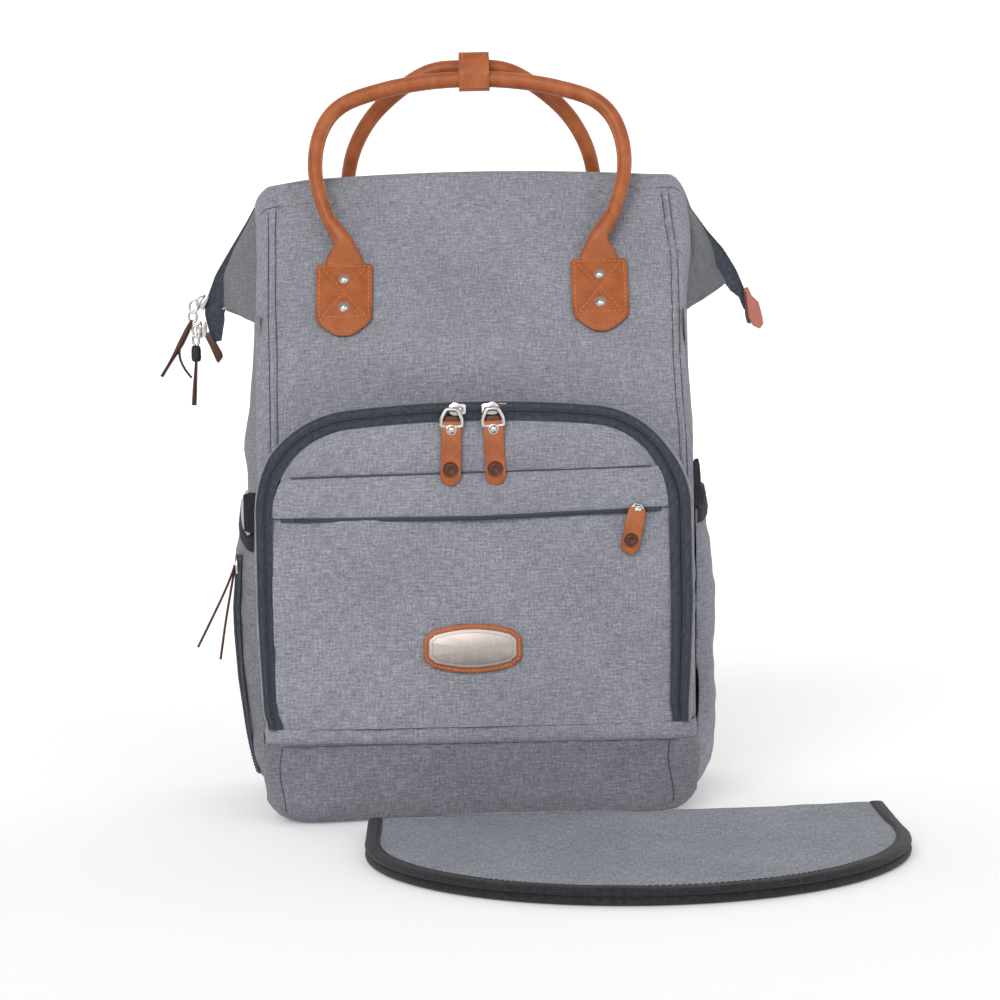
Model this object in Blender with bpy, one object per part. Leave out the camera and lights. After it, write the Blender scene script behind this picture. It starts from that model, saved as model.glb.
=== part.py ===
"""Wide-mouth diaper backpack with its folded changing mat.

Metres. X runs across the bag, the front faces -Y, +Z is up, and the origin is on the floor
under the middle of the base. Pieces that lie on a slanted panel are modelled flat, in the XZ
plane of an empty that holds the panel's slant: local Z runs up the panel and -Y faces outwards.
"""

import math

import bmesh
import bpy
from mathutils import Vector

# Driving dimensions
GAP = 0.0004  # clearance between pieces that touch
FABRIC = 0.0025  # padded outer fabric with its lining
TAPE = 0.0012  # zip tape
LEATHER = 0.0018

HALF_W = 0.1415  # main body, half of its width
Y_FRONT = -0.056  # outer face of the wall between main compartment and front pocket
Y_BACK = 0.096
CORNER_R = 0.011  # upright corners of the side panels
SEAM = 0.0015  # flat margin of a side panel, beside its seam to the front or back wall
BASE_TUCK = 0.008  # how far the sides draw in at the base
TUCK_Z = 0.060
BACK_PAD = 0.008
BASE_THICK = 0.0028
WALL_LOW = BASE_THICK + GAP
BOARD_THICK = 0.003

HINGE_Z = 0.302  # fold between the upright walls and the mouth panels
WALL_TOP = HINGE_Z - 0.0015
RIDGE_Y = (Y_FRONT + Y_BACK) / 2
RIDGE_Z = 0.4235
RIDGE_CROWN = 0.006  # drop of the ridge from its middle to the panel's corner
RIDGE_HALF = 0.131
PANEL_TOP_Y = -0.0070  # top edge of a mouth panel, measured from the ridge plane
PANEL_TOP_Z = 0.4170

POCKET_HALF = 0.1375  # front pocket, half of its width
FACE_Y = -0.100  # front of the pocket at the top of the base band
BAND_Z = 0.0605  # top of the base band, where the pocket flap folds down
FACE_SLOPE = 0.0467  # how much the face leans back per metre of height
ARCH_TOP = 0.2060  # outer edge of the arch zip, up the face from the flap's fold
ARCH_CORNER_R = 0.066
ARCH_TOP_R = 0.800
TAPE_W = 0.0058  # each half of the arch zip
WELT_H = (0.1348, 0.1600)  # the folded band that covers the welt zip

HANDLE_R = 0.0055
PIVOT_UP = 0.0770  # handle pivots, up the mouth panel from its fold
PIVOT_OUT = 0.0088  # and out from the panel's face
FRONT_HANDLE_TOP = (-0.0065, 0.4825)  # y from the ridge plane, z
BACK_HANDLE_TOP = (-0.0065, 0.4915)
WRAP_X = (-0.0060, 0.0140)  # the wrap sits a little to the right of the middle
ARCH_PULLS = {"left": (-0.0105, -0.0140), "right": (0.0105, 0.0120)}  # slider's x, pull's x
TAB_X = 0.0840
EAR_TIP_X = 0.1822
MAIN_SLIDER_TILT = math.radians(28.6)  # the ear ridge's slope, along which the slider runs

SIDE_POCKET_Y = (-0.0430, 0.0830)
SIDE_POCKET_Z = (0.0120, 0.2060)
SIDE_POCKET_BULGE = 0.0105
SIDE_POCKET_WALL = 0.0018

MAT_HALF = 0.1610
MAT_SIDE = 0.0760  # straight stretch between the fold and the round end
MAT_LEAF = 0.0045
MAT_PLACE = (0.0905, -0.136, 0.0)
MAT_YAW = math.radians(1.5)

FABRIC_GREY = (0.235, 0.245, 0.275)
NAVY = (0.045, 0.060, 0.082)
TAN = (0.420, 0.130, 0.045)
NICKEL = (0.62, 0.60, 0.56)
BLACK = (0.015, 0.016, 0.018)


# Helpers


def clear_scene():
    for obj in list(bpy.data.objects):
        bpy.data.objects.remove(obj, do_unlink=True)


def material(name, colour, roughness, metallic=0.0):
    made = bpy.data.materials.new(name)
    made.use_nodes = True
    shader = made.node_tree.nodes["Principled BSDF"]
    shader.inputs["Base Color"].default_value = (*colour, 1.0)
    shader.inputs["Roughness"].default_value = roughness
    shader.inputs["Metallic"].default_value = metallic
    return made


def fabric(name):
    return material(name, FABRIC_GREY, 0.9)


def leather(name):
    return material(name, TAN, 0.55)


def zip_tape(name):
    return material(name, NAVY, 0.8)


def metal(name):
    return material(name, NICKEL, 0.25, 1.0)


def black_trim(name):
    return material(name, BLACK, 0.7)


def empty(name, location, rotation=(0.0, 0.0, 0.0), parent=None):
    made = bpy.data.objects.new(name, None)
    made.empty_display_size = 0.02
    made.location = location
    made.rotation_euler = rotation
    made.parent = parent
    bpy.context.collection.objects.link(made)
    return made


def node(name, mesh_or_curve, look, parent=None):
    made = bpy.data.objects.new(name, mesh_or_curve)
    made.data.materials.append(look(name))
    made.parent = parent
    bpy.context.collection.objects.link(made)
    return made


def mesh_from(points, faces):
    """A mesh whose faces all point outwards."""
    bm = bmesh.new()
    verts = [bm.verts.new(point) for point in points]
    for face in faces:
        bm.faces.new([verts[i] for i in face])
    bmesh.ops.recalc_face_normals(bm, faces=bm.faces)
    mesh = bpy.data.meshes.new("shape")
    bm.to_mesh(mesh)
    bm.free()
    return mesh


def slab(outline, place, other_place):
    """A prism: the same 2-D outline put in 3-D by two functions, and joined by sides."""
    count = len(outline)
    points = [place(u, v) for u, v in outline] + [other_place(u, v) for u, v in outline]
    faces = [range(count), range(count, 2 * count)]
    faces += [(i, (i + 1) % count, count + (i + 1) % count, count + i) for i in range(count)]
    return mesh_from(points, faces)


def panel_slab(outline, out, thick):
    """A slab in the XZ plane whose outer face stands `out` in front of it (towards -Y)."""
    return slab(outline, lambda u, v: (u, -out, v), lambda u, v: (u, thick - out, v))


def floor_slab(outline, low, high):
    return slab(outline, lambda u, v: (u, v, low), lambda u, v: (u, v, high))


def sheet(rows, thick, inside):
    """A thick sheet. `rows` is a grid of points on its outer face, `inside` a point behind it."""
    rows = [[Vector(point) for point in row] for row in rows]
    high, wide = len(rows), len(rows[0])
    inside = Vector(inside)
    back = []
    for i in range(high):
        for j in range(wide):
            across = rows[i][min(j + 1, wide - 1)] - rows[i][max(j - 1, 0)]
            up = rows[min(i + 1, high - 1)][j] - rows[max(i - 1, 0)][j]
            normal = across.cross(up).normalized()
            if normal.dot(inside - rows[i][j]) < 0:
                normal.negate()
            back.append(rows[i][j] + normal * thick)
    front = [point for row in rows for point in row]
    far = len(front)
    faces = []
    for i in range(high - 1):
        for j in range(wide - 1):
            quad = (i * wide + j, i * wide + j + 1, (i + 1) * wide + j + 1, (i + 1) * wide + j)
            faces += [quad, tuple(far + k for k in quad)]
    rim = list(range(wide)) + [i * wide + wide - 1 for i in range(1, high)]
    rim += [(high - 1) * wide + j for j in range(wide - 2, -1, -1)]
    rim += [i * wide for i in range(high - 2, 0, -1)]
    for a, b in zip(rim, rim[1:] + rim[:1]):
        faces.append((a, b, far + b, far + a))
    return mesh_from(front + back, faces)


def arc(centre, radius, start, end, steps):
    """Points on an arc, angles in degrees from +u towards +v."""
    turns = [math.radians(start + (end - start) * i / steps) for i in range(steps + 1)]
    return [(centre[0] + radius * math.cos(a), centre[1] + radius * math.sin(a)) for a in turns]


def rounded_rect(u0, u1, v0, v1, radius, steps=4):
    return (
        arc((u0 + radius, v0 + radius), radius, 180, 270, steps)
        + arc((u1 - radius, v0 + radius), radius, 270, 360, steps)
        + arc((u1 - radius, v1 - radius), radius, 0, 90, steps)
        + arc((u0 + radius, v1 - radius), radius, 90, 180, steps)
    )


def spread(low, high, count):
    return [low + (high - low) * i / (count - 1) for i in range(count)]


def smooth_path(keys, per_span):
    """A Catmull-Rom curve through the key points."""
    keys = [Vector(key) for key in keys]
    ends = [keys[0] * 2 - keys[1]] + keys + [keys[-1] * 2 - keys[-2]]
    path = []
    for a, b, c, d in zip(ends, ends[1:], ends[2:], ends[3:]):
        for i in range(per_span):
            t = i / per_span
            path.append(
                (b * 2 + (c - a) * t + (a * 2 - b * 5 + c * 4 - d) * t**2
                 + (b * 3 - a - c * 3 + d) * t**3) * 0.5
            )
    return path + [keys[-1]]


def tube(path, radius, resolution=2):
    curve = bpy.data.curves.new("path", "CURVE")
    curve.dimensions = "3D"
    spline = curve.splines.new("POLY")
    spline.points.add(len(path) - 1)
    for point, place in zip(spline.points, path):
        point.co = (*place, 1.0)
    curve.bevel_depth = radius
    curve.bevel_resolution = resolution
    curve.use_fill_caps = True
    return curve


def cut(obj, cutter):
    modifier = obj.modifiers.new("cut", "BOOLEAN")
    modifier.operation = "DIFFERENCE"
    modifier.object = cutter


def join(obj, other):
    modifier = obj.modifiers.new("join", "BOOLEAN")
    modifier.operation = "UNION"
    modifier.object = other


def helper(name, mesh, parent=None, location=(0.0, 0.0, 0.0)):
    made = bpy.data.objects.new(name, mesh)
    made.hide_render = True
    made.display_type = "WIRE"
    made.parent = parent
    made.location = location
    bpy.context.collection.objects.link(made)
    return made


# Shapes shared by several pieces


def half_width(z):
    """Half of the body's width at height z: it draws in towards the base."""
    return HALF_W - BASE_TUCK * max(0.0, 1 - z / TUCK_Z) ** 2


def wall_levels():
    return [WALL_LOW, 0.012, 0.028, TUCK_Z, 0.180, WALL_TOP]


def arch_path(inset, low):
    """The arch zip's line in the face plane, from the left leg's end to the right leg's."""
    corner_r, top_r = ARCH_CORNER_R - inset, ARCH_TOP_R - inset
    corner_x = POCKET_HALF - ARCH_CORNER_R
    top_centre = ARCH_TOP - ARCH_TOP_R
    corner_z = top_centre + math.sqrt((ARCH_TOP_R - ARCH_CORNER_R) ** 2 - corner_x**2)
    tilt = math.degrees(math.atan2(corner_x, corner_z - top_centre))
    right = [(POCKET_HALF - inset, low)]
    right += arc((corner_x, corner_z), corner_r, 0, 90 - tilt, 7)
    right += arc((0.0, top_centre), top_r, 90 - tilt, 90, 4)[1:]
    return [(-x, h) for x, h in right] + right[-2::-1]


def arch_half(inset, h):
    """Half of the width inside the arch at height h up the face."""
    corner_x = POCKET_HALF - ARCH_CORNER_R
    top_centre = ARCH_TOP - ARCH_TOP_R
    corner_z = top_centre + math.sqrt((ARCH_TOP_R - ARCH_CORNER_R) ** 2 - corner_x**2)
    rise = max(0.0, h - corner_z)
    return corner_x + math.sqrt((ARCH_CORNER_R - inset) ** 2 - rise**2)


def on_face(x, h, back=0.0):
    """World point on the pocket's face, `h` up from the flap's fold and `back` behind it."""
    slant = math.atan(FACE_SLOPE)
    y = FACE_Y + h * math.sin(slant) + back * math.cos(slant)
    z = BAND_Z + h * math.cos(slant) - back * math.sin(slant)
    return Vector((x, y, z))


def mouth_lean():
    return math.atan2(RIDGE_Y + PANEL_TOP_Y - Y_FRONT, PANEL_TOP_Z - HINGE_Z)


def mouth_length():
    return math.hypot(RIDGE_Y + PANEL_TOP_Y - Y_FRONT, PANEL_TOP_Z - HINGE_Z)


# Main compartment


def base():
    outline = rounded_rect(-0.130, 0.130, -0.0925, Y_BACK - 0.003, 0.020, 5)
    node("base_panel", floor_slab(outline, 0.0, BASE_THICK), fabric)
    inner = rounded_rect(-0.1275, 0.1275, Y_FRONT + 0.004, Y_BACK - BACK_PAD - 0.001, 0.006, 2)
    board = floor_slab(inner, WALL_LOW, WALL_LOW + BOARD_THICK)
    node("base_board", board, lambda name: material(name, (0.05, 0.05, 0.055), 0.6))


def upright_wall(name, y, thick):
    rows = []
    for z in wall_levels():
        half = half_width(z) - CORNER_R - SEAM - GAP
        rows.append([(x, y, z) for x in spread(-half, half, 3)])
    node(name, sheet(rows, thick, (0.0, RIDGE_Y, 0.15)), fabric)


def side_panel(name, side):
    """A side of the main compartment, with its rounded upright corners."""
    rows = []
    for z in wall_levels():
        x = half_width(z) - CORNER_R
        plan = [(x - SEAM, Y_FRONT)] + arc((x, Y_FRONT + CORNER_R), CORNER_R, 270, 360, 4)
        plan += arc((x, Y_BACK - CORNER_R), CORNER_R, 0, 90, 4) + [(x - SEAM, Y_BACK)]
        rows.append([(side * u, v, z) for u, v in plan])
    node(name, sheet(rows, FABRIC, (0.0, RIDGE_Y, 0.15)), fabric)


def ear(name, side):
    """The side gusset's top, which folds out to a point when the mouth is zipped shut."""
    inner_x = HALF_W + 0.0003
    apex = [(0.1440, 0.3190), (0.1715, 0.3290), (0.1675, 0.3420), (0.1590, 0.3600),
            (0.1515, 0.3765), (0.1440, 0.3920), (0.1425, 0.4000)]
    low_z, rows = HINGE_Z + 0.0025, []
    for step, (x, z) in enumerate(apex):
        edge_z = z if step > 1 else low_z + 0.010 * step
        front = Y_FRONT + (edge_z - HINGE_Z) * math.tan(mouth_lean()) + 0.0015
        depth = RIDGE_Y - front
        rows.append([
            (side * inner_x, RIDGE_Y - depth, edge_z),
            (side * x, RIDGE_Y - 0.0012, z),
            (side * x, RIDGE_Y + 0.0012, z),
            (side * inner_x, RIDGE_Y + depth, edge_z),
        ])
    count = len(rows)
    points = [point for row in rows for point in row]
    faces = [(0, 1, 2, 3), tuple(4 * (count - 1) + k for k in range(4))]
    for i in range(count - 1):
        for k in range(4):
            a, b = 4 * i + k, 4 * i + (k + 1) % 4
            faces.append((a, b, b + 4, a + 4))
    node(name, mesh_from(points, faces), fabric)


def ear_ridge(t, inset=0.0):
    """The zip's line down an ear, t from 0 at the ridge to 1 at the tip, and on down its tail."""
    a, b, c = Vector((0.1405, 0.4110)), Vector((0.1614, 0.3728)), Vector((EAR_TIP_X, 0.3345))
    if t <= 1:
        point = a * (1 - t) ** 2 + b * 2 * t * (1 - t) + c * t**2
        along = (b - a) * (1 - t) + (c - b) * t
    else:
        point = c + Vector((-0.0010, -0.0300)) * (t - 1)
        along = c - b
    across = Vector((along.y, -along.x)).normalized()
    return point + across * inset


def ear_zip(name, side, tail):
    """The closed zip along an ear's ridge: a strip that widens towards the tip."""
    outer = [ear_ridge(t) for t in (0.0, 0.25, 0.5, 0.75, 1.0, tail)]
    inner = [ear_ridge(t, w) for t, w in
             ((tail, 0.0065), (0.9, 0.0070), (0.7, 0.0060), (0.5, 0.0048), (0.25, 0.0030), (0.0, 0.0012))]
    outline = [(side * point.x, point.y) for point in outer + inner]
    strip = slab(outline, lambda u, v: (u, RIDGE_Y - 0.0015, v), lambda u, v: (u, RIDGE_Y + 0.0015, v))
    node(name, strip, zip_tape)


def zip_end_tab():
    """The leather end sewn over the zip's tail at the right ear."""
    place = empty("zip_end_place", (0.1823, RIDGE_Y, 0.3215), (0.0, math.radians(-28), 0.0))
    outline = rounded_rect(-0.0048, 0.0048, -0.0240, -0.0005, 0.0030, 2)
    node("zip_end_tab", panel_slab(outline, 0.0018, 0.0036), leather, place)


# Front pocket


def pocket_gusset():
    """The pocket's side and top walls, between the body and the arch zip."""
    front = TAPE + GAP
    rows = []
    for x, h in arch_path(0.0, GAP):
        near = on_face(x, h, front)
        far = Vector((x, Y_FRONT - GAP, near.z))
        rows.append([near, near.lerp(far, 0.5), far])
    node("pocket_gusset", sheet(rows, FABRIC, (0.0, -0.075, 0.12)), fabric)


def base_band():
    """The band round the foot of the pocket, rounded under at the floor."""
    corner = 0.018
    rows = []
    for z in (WALL_LOW, 0.007, 0.013, 0.022, 0.040, BAND_Z - GAP):
        tuck = 0.007 * max(0.0, 1 - z / 0.022) ** 2
        half = POCKET_HALF - tuck
        near = FACE_Y + tuck
        left = [(-half, Y_FRONT - GAP), (-half, near + corner)]
        left += arc((corner - half, near + corner), corner, 180, 270, 5)[1:]
        plan = left + [(-u, v) for u, v in reversed(left)]
        rows.append([(u, v, z) for u, v in plan])
    node("base_band", sheet(rows, FABRIC, (0.0, -0.070, 0.03)), fabric)


def arch_strip(name, inset, parent):
    outer = arch_path(inset, 0.0015)
    inner = arch_path(inset + TAPE_W, 0.0015)
    node(name, panel_slab(outer + inner[::-1], 0.0, TAPE), zip_tape, parent)


def pocket_flap(parent):
    """The front of the pocket, in the pieces it is sewn from. It folds down at its foot."""
    edge = 2 * TAPE_W + 3 * GAP
    arch_strip("pocket_zip_inner", TAPE_W + 2 * GAP, parent)
    low, high = WELT_H
    upper = [(x, h) for x, h in arch_path(edge, 0.0) if h > high + 0.002]
    half = arch_half(edge, high + GAP)
    upper = [(-half, high + GAP)] + upper + [(half, high + GAP)]
    node("pocket_face_upper", panel_slab(upper, 0.0, FABRIC), fabric, parent)
    band = [(side * arch_half(edge, h), h) for side, levels in
            ((-1, spread(low, high, 4)), (1, spread(high, low, 4))) for h in levels]
    node("welt_band", panel_slab(band, 0.0014, FABRIC), fabric, parent)
    half = arch_half(edge, 0.0)
    lower = rounded_rect(-half, half, 0.0015, low - GAP, 0.002, 1)
    node("pocket_face_lower", panel_slab(lower, 0.0, FABRIC), fabric, parent)


def badge(parent):
    """A blank metal plate in a leather surround, both with bowed long edges."""
    centre_h = 0.0485

    def lens(half_x, half_h, bow, corner):
        top = []
        for x in spread(half_x - corner, corner - half_x, 7):
            top.append((x, half_h - bow * (x / half_x) ** 2))
        right = [(half_x, 0.0), (half_x - 0.0006, half_h - bow - corner)]
        left = [(-x, h) for x, h in reversed(right[1:])] + [(-half_x, 0.0)]
        upper = right + top + left
        return [(x, centre_h + h) for x, h in upper] + [
            (x, centre_h - h) for x, h in reversed(upper[1:-1])
        ]

    surround = lens(0.0310, 0.0152, 0.0040, 0.0055)
    node("badge_surround", panel_slab(surround, GAP + LEATHER, LEATHER), leather, parent)
    plate = lens(0.0260, 0.0110, 0.0032, 0.0040)
    node("badge_plate", panel_slab(plate, 2 * GAP + LEATHER + 0.001, 0.001), metal, parent)


# Sliders and pulls


def slider(name, parent, length, width, out):
    """A zip slider, lying on a tape. Its length runs along local Z."""
    outline = [
        (-0.30 * width, 0.5 * length), (-0.5 * width, 0.15 * length),
        (-0.42 * width, -0.5 * length), (0.42 * width, -0.5 * length),
        (0.5 * width, 0.15 * length), (0.30 * width, 0.5 * length),
    ]
    body = node(name, panel_slab(outline, out, 0.0032), metal, parent)
    bevel = body.modifiers.new("edges", "BEVEL")
    bevel.width = 0.0006
    bevel.segments = 1
    return body


def pull(name, axis, length, width, neck, thick=0.0022):
    """A leather pull that hangs from its slider's eye, with its hinge at the empty's origin."""
    outline = [(-0.0022, 0.0), (-0.0022, -neck), (-width / 2, -neck - 0.0015)]
    outline += arc((0.0, -length + width / 2), width / 2, 180, 360, 6)
    outline += [(width / 2, -neck - 0.0015), (0.0022, -neck), (0.0022, 0.0)]
    return node(name, panel_slab(outline, thick / 2, thick), leather, axis)


def arch_sliders(face):
    for name, side in (("left", -1), ("right", 1)):
        slider_x, pull_x = ARCH_PULLS[name]
        h = ARCH_TOP - TAPE_W - GAP
        place = empty(f"arch_slider_{name}_place", (slider_x, 0.0, h),
                      (0.0, side * math.pi / 2, 0.0), face)
        slider(f"arch_slider_{name}", place, 0.0105, 0.0088, GAP + 0.0032)
        axis = empty(f"arch_pull_{name}_axis", on_face(pull_x, h - 0.0010, -0.0072))
        pull(f"arch_pull_{name}", axis, 0.0458, 0.0130, 0.0045)


def welt_slider(face):
    x, h = 0.1046, WELT_H[0] - 0.0004
    place = empty("welt_slider_place", (x, 0.0, h), (0.0, math.pi / 2, 0.0), face)
    slider("welt_slider", place, 0.0095, 0.0060, 0.0014 + GAP + 0.0032)
    axis = empty("welt_pull_axis", on_face(x, h + 0.0030, -0.0067), (0.0, math.radians(12), 0.0))
    pull("welt_pull", axis, 0.0310, 0.0118, 0.0005)


def main_sliders():
    """Two sliders at the left ear's tip. Their pulls hang edge-on to the front."""
    section = [(0.0, -0.0055), (0.0, 0.0055), (-0.0012, 0.0062),
               (-0.0036, 0.0030), (-0.0036, -0.0030), (-0.0012, -0.0062)]
    half = 0.0045
    for name, z, out, tilt, lean, length in (
        ("upper", 0.3360, 0.0007, MAIN_SLIDER_TILT, math.radians(36), 0.0430),
        ("lower", 0.3180, 0.0012, 0.0, math.radians(2), 0.0500),
    ):
        x = -EAR_TIP_X - out
        place = empty(f"main_slider_{name}_place", (x, RIDGE_Y, z), (0.0, tilt, 0.0))
        body = slab(section, lambda u, v: (u, -half, v), lambda u, v: (u, half, v))
        node(f"main_slider_{name}", body, metal, place)
        axis = empty(f"main_pull_{name}_axis", (x - 0.0062, RIDGE_Y, z - 0.0040), (0.0, lean, 0.0))
        turned = empty(f"main_pull_{name}_turn", (0.0, 0.0, 0.0), (0.0, 0.0, math.pi / 2), axis)
        pull(f"main_pull_{name}", turned, length, 0.0120, 0.0070)


# Side pockets


def pocket_bulge(y, z):
    """How far a side pocket's wall stands out from the body."""
    across = 1 - abs(2 * (y - SIDE_POCKET_Y[0]) / (SIDE_POCKET_Y[1] - SIDE_POCKET_Y[0]) - 1) ** 4
    low, high = SIDE_POCKET_Z
    rise = min(1.0, max(0.0, (z - low) / 0.040))
    rise = math.sin(rise * math.pi / 2)
    fall = 1 - 0.30 * max(0.0, (z - 0.150) / (high - 0.150)) ** 2
    return SIDE_POCKET_BULGE * across * rise * fall


def side_pocket(name, side):
    rows = []
    low, high = SIDE_POCKET_Z
    for z in (low, 0.020, 0.032, 0.052, 0.090, 0.150, 0.180, high):
        row = []
        for y in [SIDE_POCKET_Y[0] + (SIDE_POCKET_Y[1] - SIDE_POCKET_Y[0]) * t for t in
                  (0.0, 0.05, 0.12, 0.25, 0.5, 0.75, 0.88, 0.95, 1.0)]:
            x = half_width(z) + SIDE_POCKET_WALL + GAP + pocket_bulge(y, z)
            row.append((side * x, y, z))
        rows.append(row)
    node(name, sheet(rows, SIDE_POCKET_WALL, (0.0, RIDGE_Y, 0.10)), fabric)


def side_zip():
    """The upright zip of the left side pocket, near its front edge."""
    rows = []
    for z in (0.022, 0.036, 0.055, 0.080, 0.110, 0.140, 0.168):
        rows.append([])
        for y in (-0.0345, -0.0310, -0.0275):
            x = half_width(z) + SIDE_POCKET_WALL + GAP + pocket_bulge(y, z)
            rows[-1].append((-x - GAP - TAPE, y, z))
    node("side_zip", sheet(rows, TAPE, (0.0, RIDGE_Y, 0.10)), zip_tape)


def side_slider():
    """The slider of the side zip, made in one piece with its forked pull."""
    outline = [
        (-0.0030, 0.0045), (-0.0030, -0.0040), (-0.0020, -0.0100), (-0.0052, -0.0520),
        (-0.0028, -0.0530), (0.0000, -0.0190), (0.0042, -0.0560), (0.0066, -0.0550),
        (0.0022, -0.0100), (0.0030, -0.0040), (0.0030, 0.0045),
    ]
    place = empty("side_slider_place", (-0.1575, -0.0310, 0.1600), (0.0, math.radians(20), 0.0))
    node("side_slider", panel_slab(outline, 0.0010, 0.0020), leather, place)


# Mouth


def mouth_panel_outline():
    top, corner_half = mouth_length(), HALF_W - 0.0020
    outline = [(-corner_half, 0.0015), (corner_half, 0.0015), (corner_half - 0.0005, top - 0.0260)]
    ease = [(0.1390, -0.0180), (0.1365, -0.0115), (RIDGE_HALF, -0.0070)]
    outline += [(x, top + dz) for x, dz in ease]
    crown = RIDGE_CROWN / math.cos(mouth_lean())
    outline += [(x, top - crown * (x / RIDGE_HALF) ** 2) for x in spread(0.105, -0.105, 7)]
    outline += [(-x, top + dz) for x, dz in reversed(ease)]
    return outline + [(-corner_half + 0.0005, top - 0.0260)]


def wire_frame(name, parent):
    """The spring wire that holds a mouth panel's shape, in the panel's casing."""
    half, top, bend = 0.1300, mouth_length() - 0.0120, 0.016
    depth = FABRIC + GAP + 0.0015
    right = [(half, 0.010)] + arc((half - bend, top - bend), bend, 0, 90, 5)
    path = right + [(-x, h) for x, h in reversed(right)]
    node(name, tube([(x, depth, h) for x, h in path], 0.0015), metal, parent)


def mouth_zip(name, parent):
    """Half of the main zip, along a panel's top edge and rising to the ridge."""
    lean = mouth_lean()
    rows = []
    for x in spread(-RIDGE_HALF + 0.001, RIDGE_HALF - 0.001, 9):
        drop = RIDGE_CROWN * (x / RIDGE_HALF) ** 2
        rows.append([])
        for y, z in ((PANEL_TOP_Y + 0.0008, PANEL_TOP_Z + 0.0008), (-0.0015, RIDGE_Z - 0.0002)):
            dy, dz = RIDGE_Y + y - Y_FRONT, z - drop - HINGE_Z
            up = dy * math.sin(lean) + dz * math.cos(lean)
            out = -dy * math.cos(lean) + dz * math.sin(lean)
            rows[-1].append((x, -out, up))
    node(name, sheet(rows, TAPE, (0.0, 0.05, 0.08)), zip_tape, parent)


def tab_outline():
    """A handle tab: square shoulders, a pointed foot, and a neck that flares from the handle."""
    half, neck, shoulder, foot, top = 0.0185, 0.0060, 0.0640, 0.0080, 0.0830
    right = [(0.0, foot), (0.0090, foot + 0.0045), (0.0165, foot + 0.0125), (half, foot + 0.0200)]
    right += [(half, shoulder - 0.0015), (half - 0.0015, shoulder)]
    right += [(0.0125, shoulder + 0.0040), (0.0085, shoulder + 0.0100), (neck, top)]
    return right + [(-x, h) for x, h in reversed(right[1:])]


def disc(radius, out, thick, steps=10):
    return panel_slab(arc((0.0, 0.0), radius, 0, 360 * (1 - 1 / steps), steps - 1), out, thick)


def handle_tab(name, side, parent):
    """A tab and the two rivets that hold it, joined by the strip behind it."""
    strip = 0.0006
    stand = 2 * GAP + strip
    rivet_h = (0.0277, 0.0500)
    place = empty(f"tab_{name}_place", (side * TAB_X, 0.0, 0.0), parent=parent)
    tab = node(f"handle_tab_{name}", panel_slab(tab_outline(), stand + LEATHER, LEATHER), leather, place)
    rows = rounded_rect(-0.0035, 0.0035, rivet_h[0] - 0.004, rivet_h[1] + 0.004, 0.0015, 1)
    rivets = node(f"tab_rivets_{name}", panel_slab(rows, GAP + strip, strip), metal, place)
    for count, h in enumerate(rivet_h):
        hole = helper(f"rivet_hole_{name}_{count}", disc(0.0016, 0.010, 0.012), place, (0.0, 0.0, h))
        cut(tab, hole)
        shank_out = stand + LEATHER + 0.0008
        shank = helper(f"rivet_shank_{name}_{count}",
                       disc(0.0011, shank_out, shank_out - GAP - strip / 2, 8), place, (0.0, 0.0, h))
        cap = helper(f"rivet_cap_{name}_{count}", disc(0.0034, stand + LEATHER + 0.0016, 0.0013),
                     place, (0.0, 0.0, h))
        join(rivets, shank)
        join(rivets, cap)


def handle(name, parent_axis, keys):
    """A rolled leather handle in its axis's XZ plane: half of its line, mirrored."""
    path = smooth_path([(-x, 0.0, h) for x, h in keys] + [(x, 0.0, h) for x, h in keys[-2::-1]], 3)
    node(name, tube(path, HANDLE_R), leather, parent_axis)


def mouth_half(side_name, place, facing, handle_top, keys):
    """One half of the mouth: panel, wire, zip, tabs, and the handle that stands on it."""
    lean = mouth_lean()
    axis = empty(f"mouth_{side_name}_axis", (0.0, place, HINGE_Z), (-lean, 0.0, facing))
    node(f"mouth_panel_{side_name}", panel_slab(mouth_panel_outline(), 0.0, FABRIC), fabric, axis)
    wire_frame(f"wire_frame_{side_name}", axis)
    mouth_zip(f"mouth_zip_{side_name}", axis)
    for name, side in (("left", -1), ("right", 1)):
        sign = side if facing == 0 else -side
        handle_tab(f"{side_name}_{name}", sign, axis)
    sign = 1 if facing == 0 else -1
    pivot_y = PIVOT_UP * math.sin(lean) - PIVOT_OUT * math.cos(lean)
    pivot_z = HINGE_Z + PIVOT_UP * math.cos(lean) + PIVOT_OUT * math.sin(lean)
    pivot = (0.0, place + sign * pivot_y, pivot_z)
    top_y, top_z = RIDGE_Y + sign * handle_top[0], handle_top[1]
    tilt = math.atan2(sign * (top_y - pivot[1]), top_z - pivot_z)
    handle_axis = empty(f"handle_{side_name}_axis", pivot, (-tilt, 0.0, facing))
    reach = math.hypot(top_y - pivot[1], top_z - pivot_z)
    handle(f"handle_{side_name}", handle_axis, [(x, h * reach) for x, h in keys])


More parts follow.
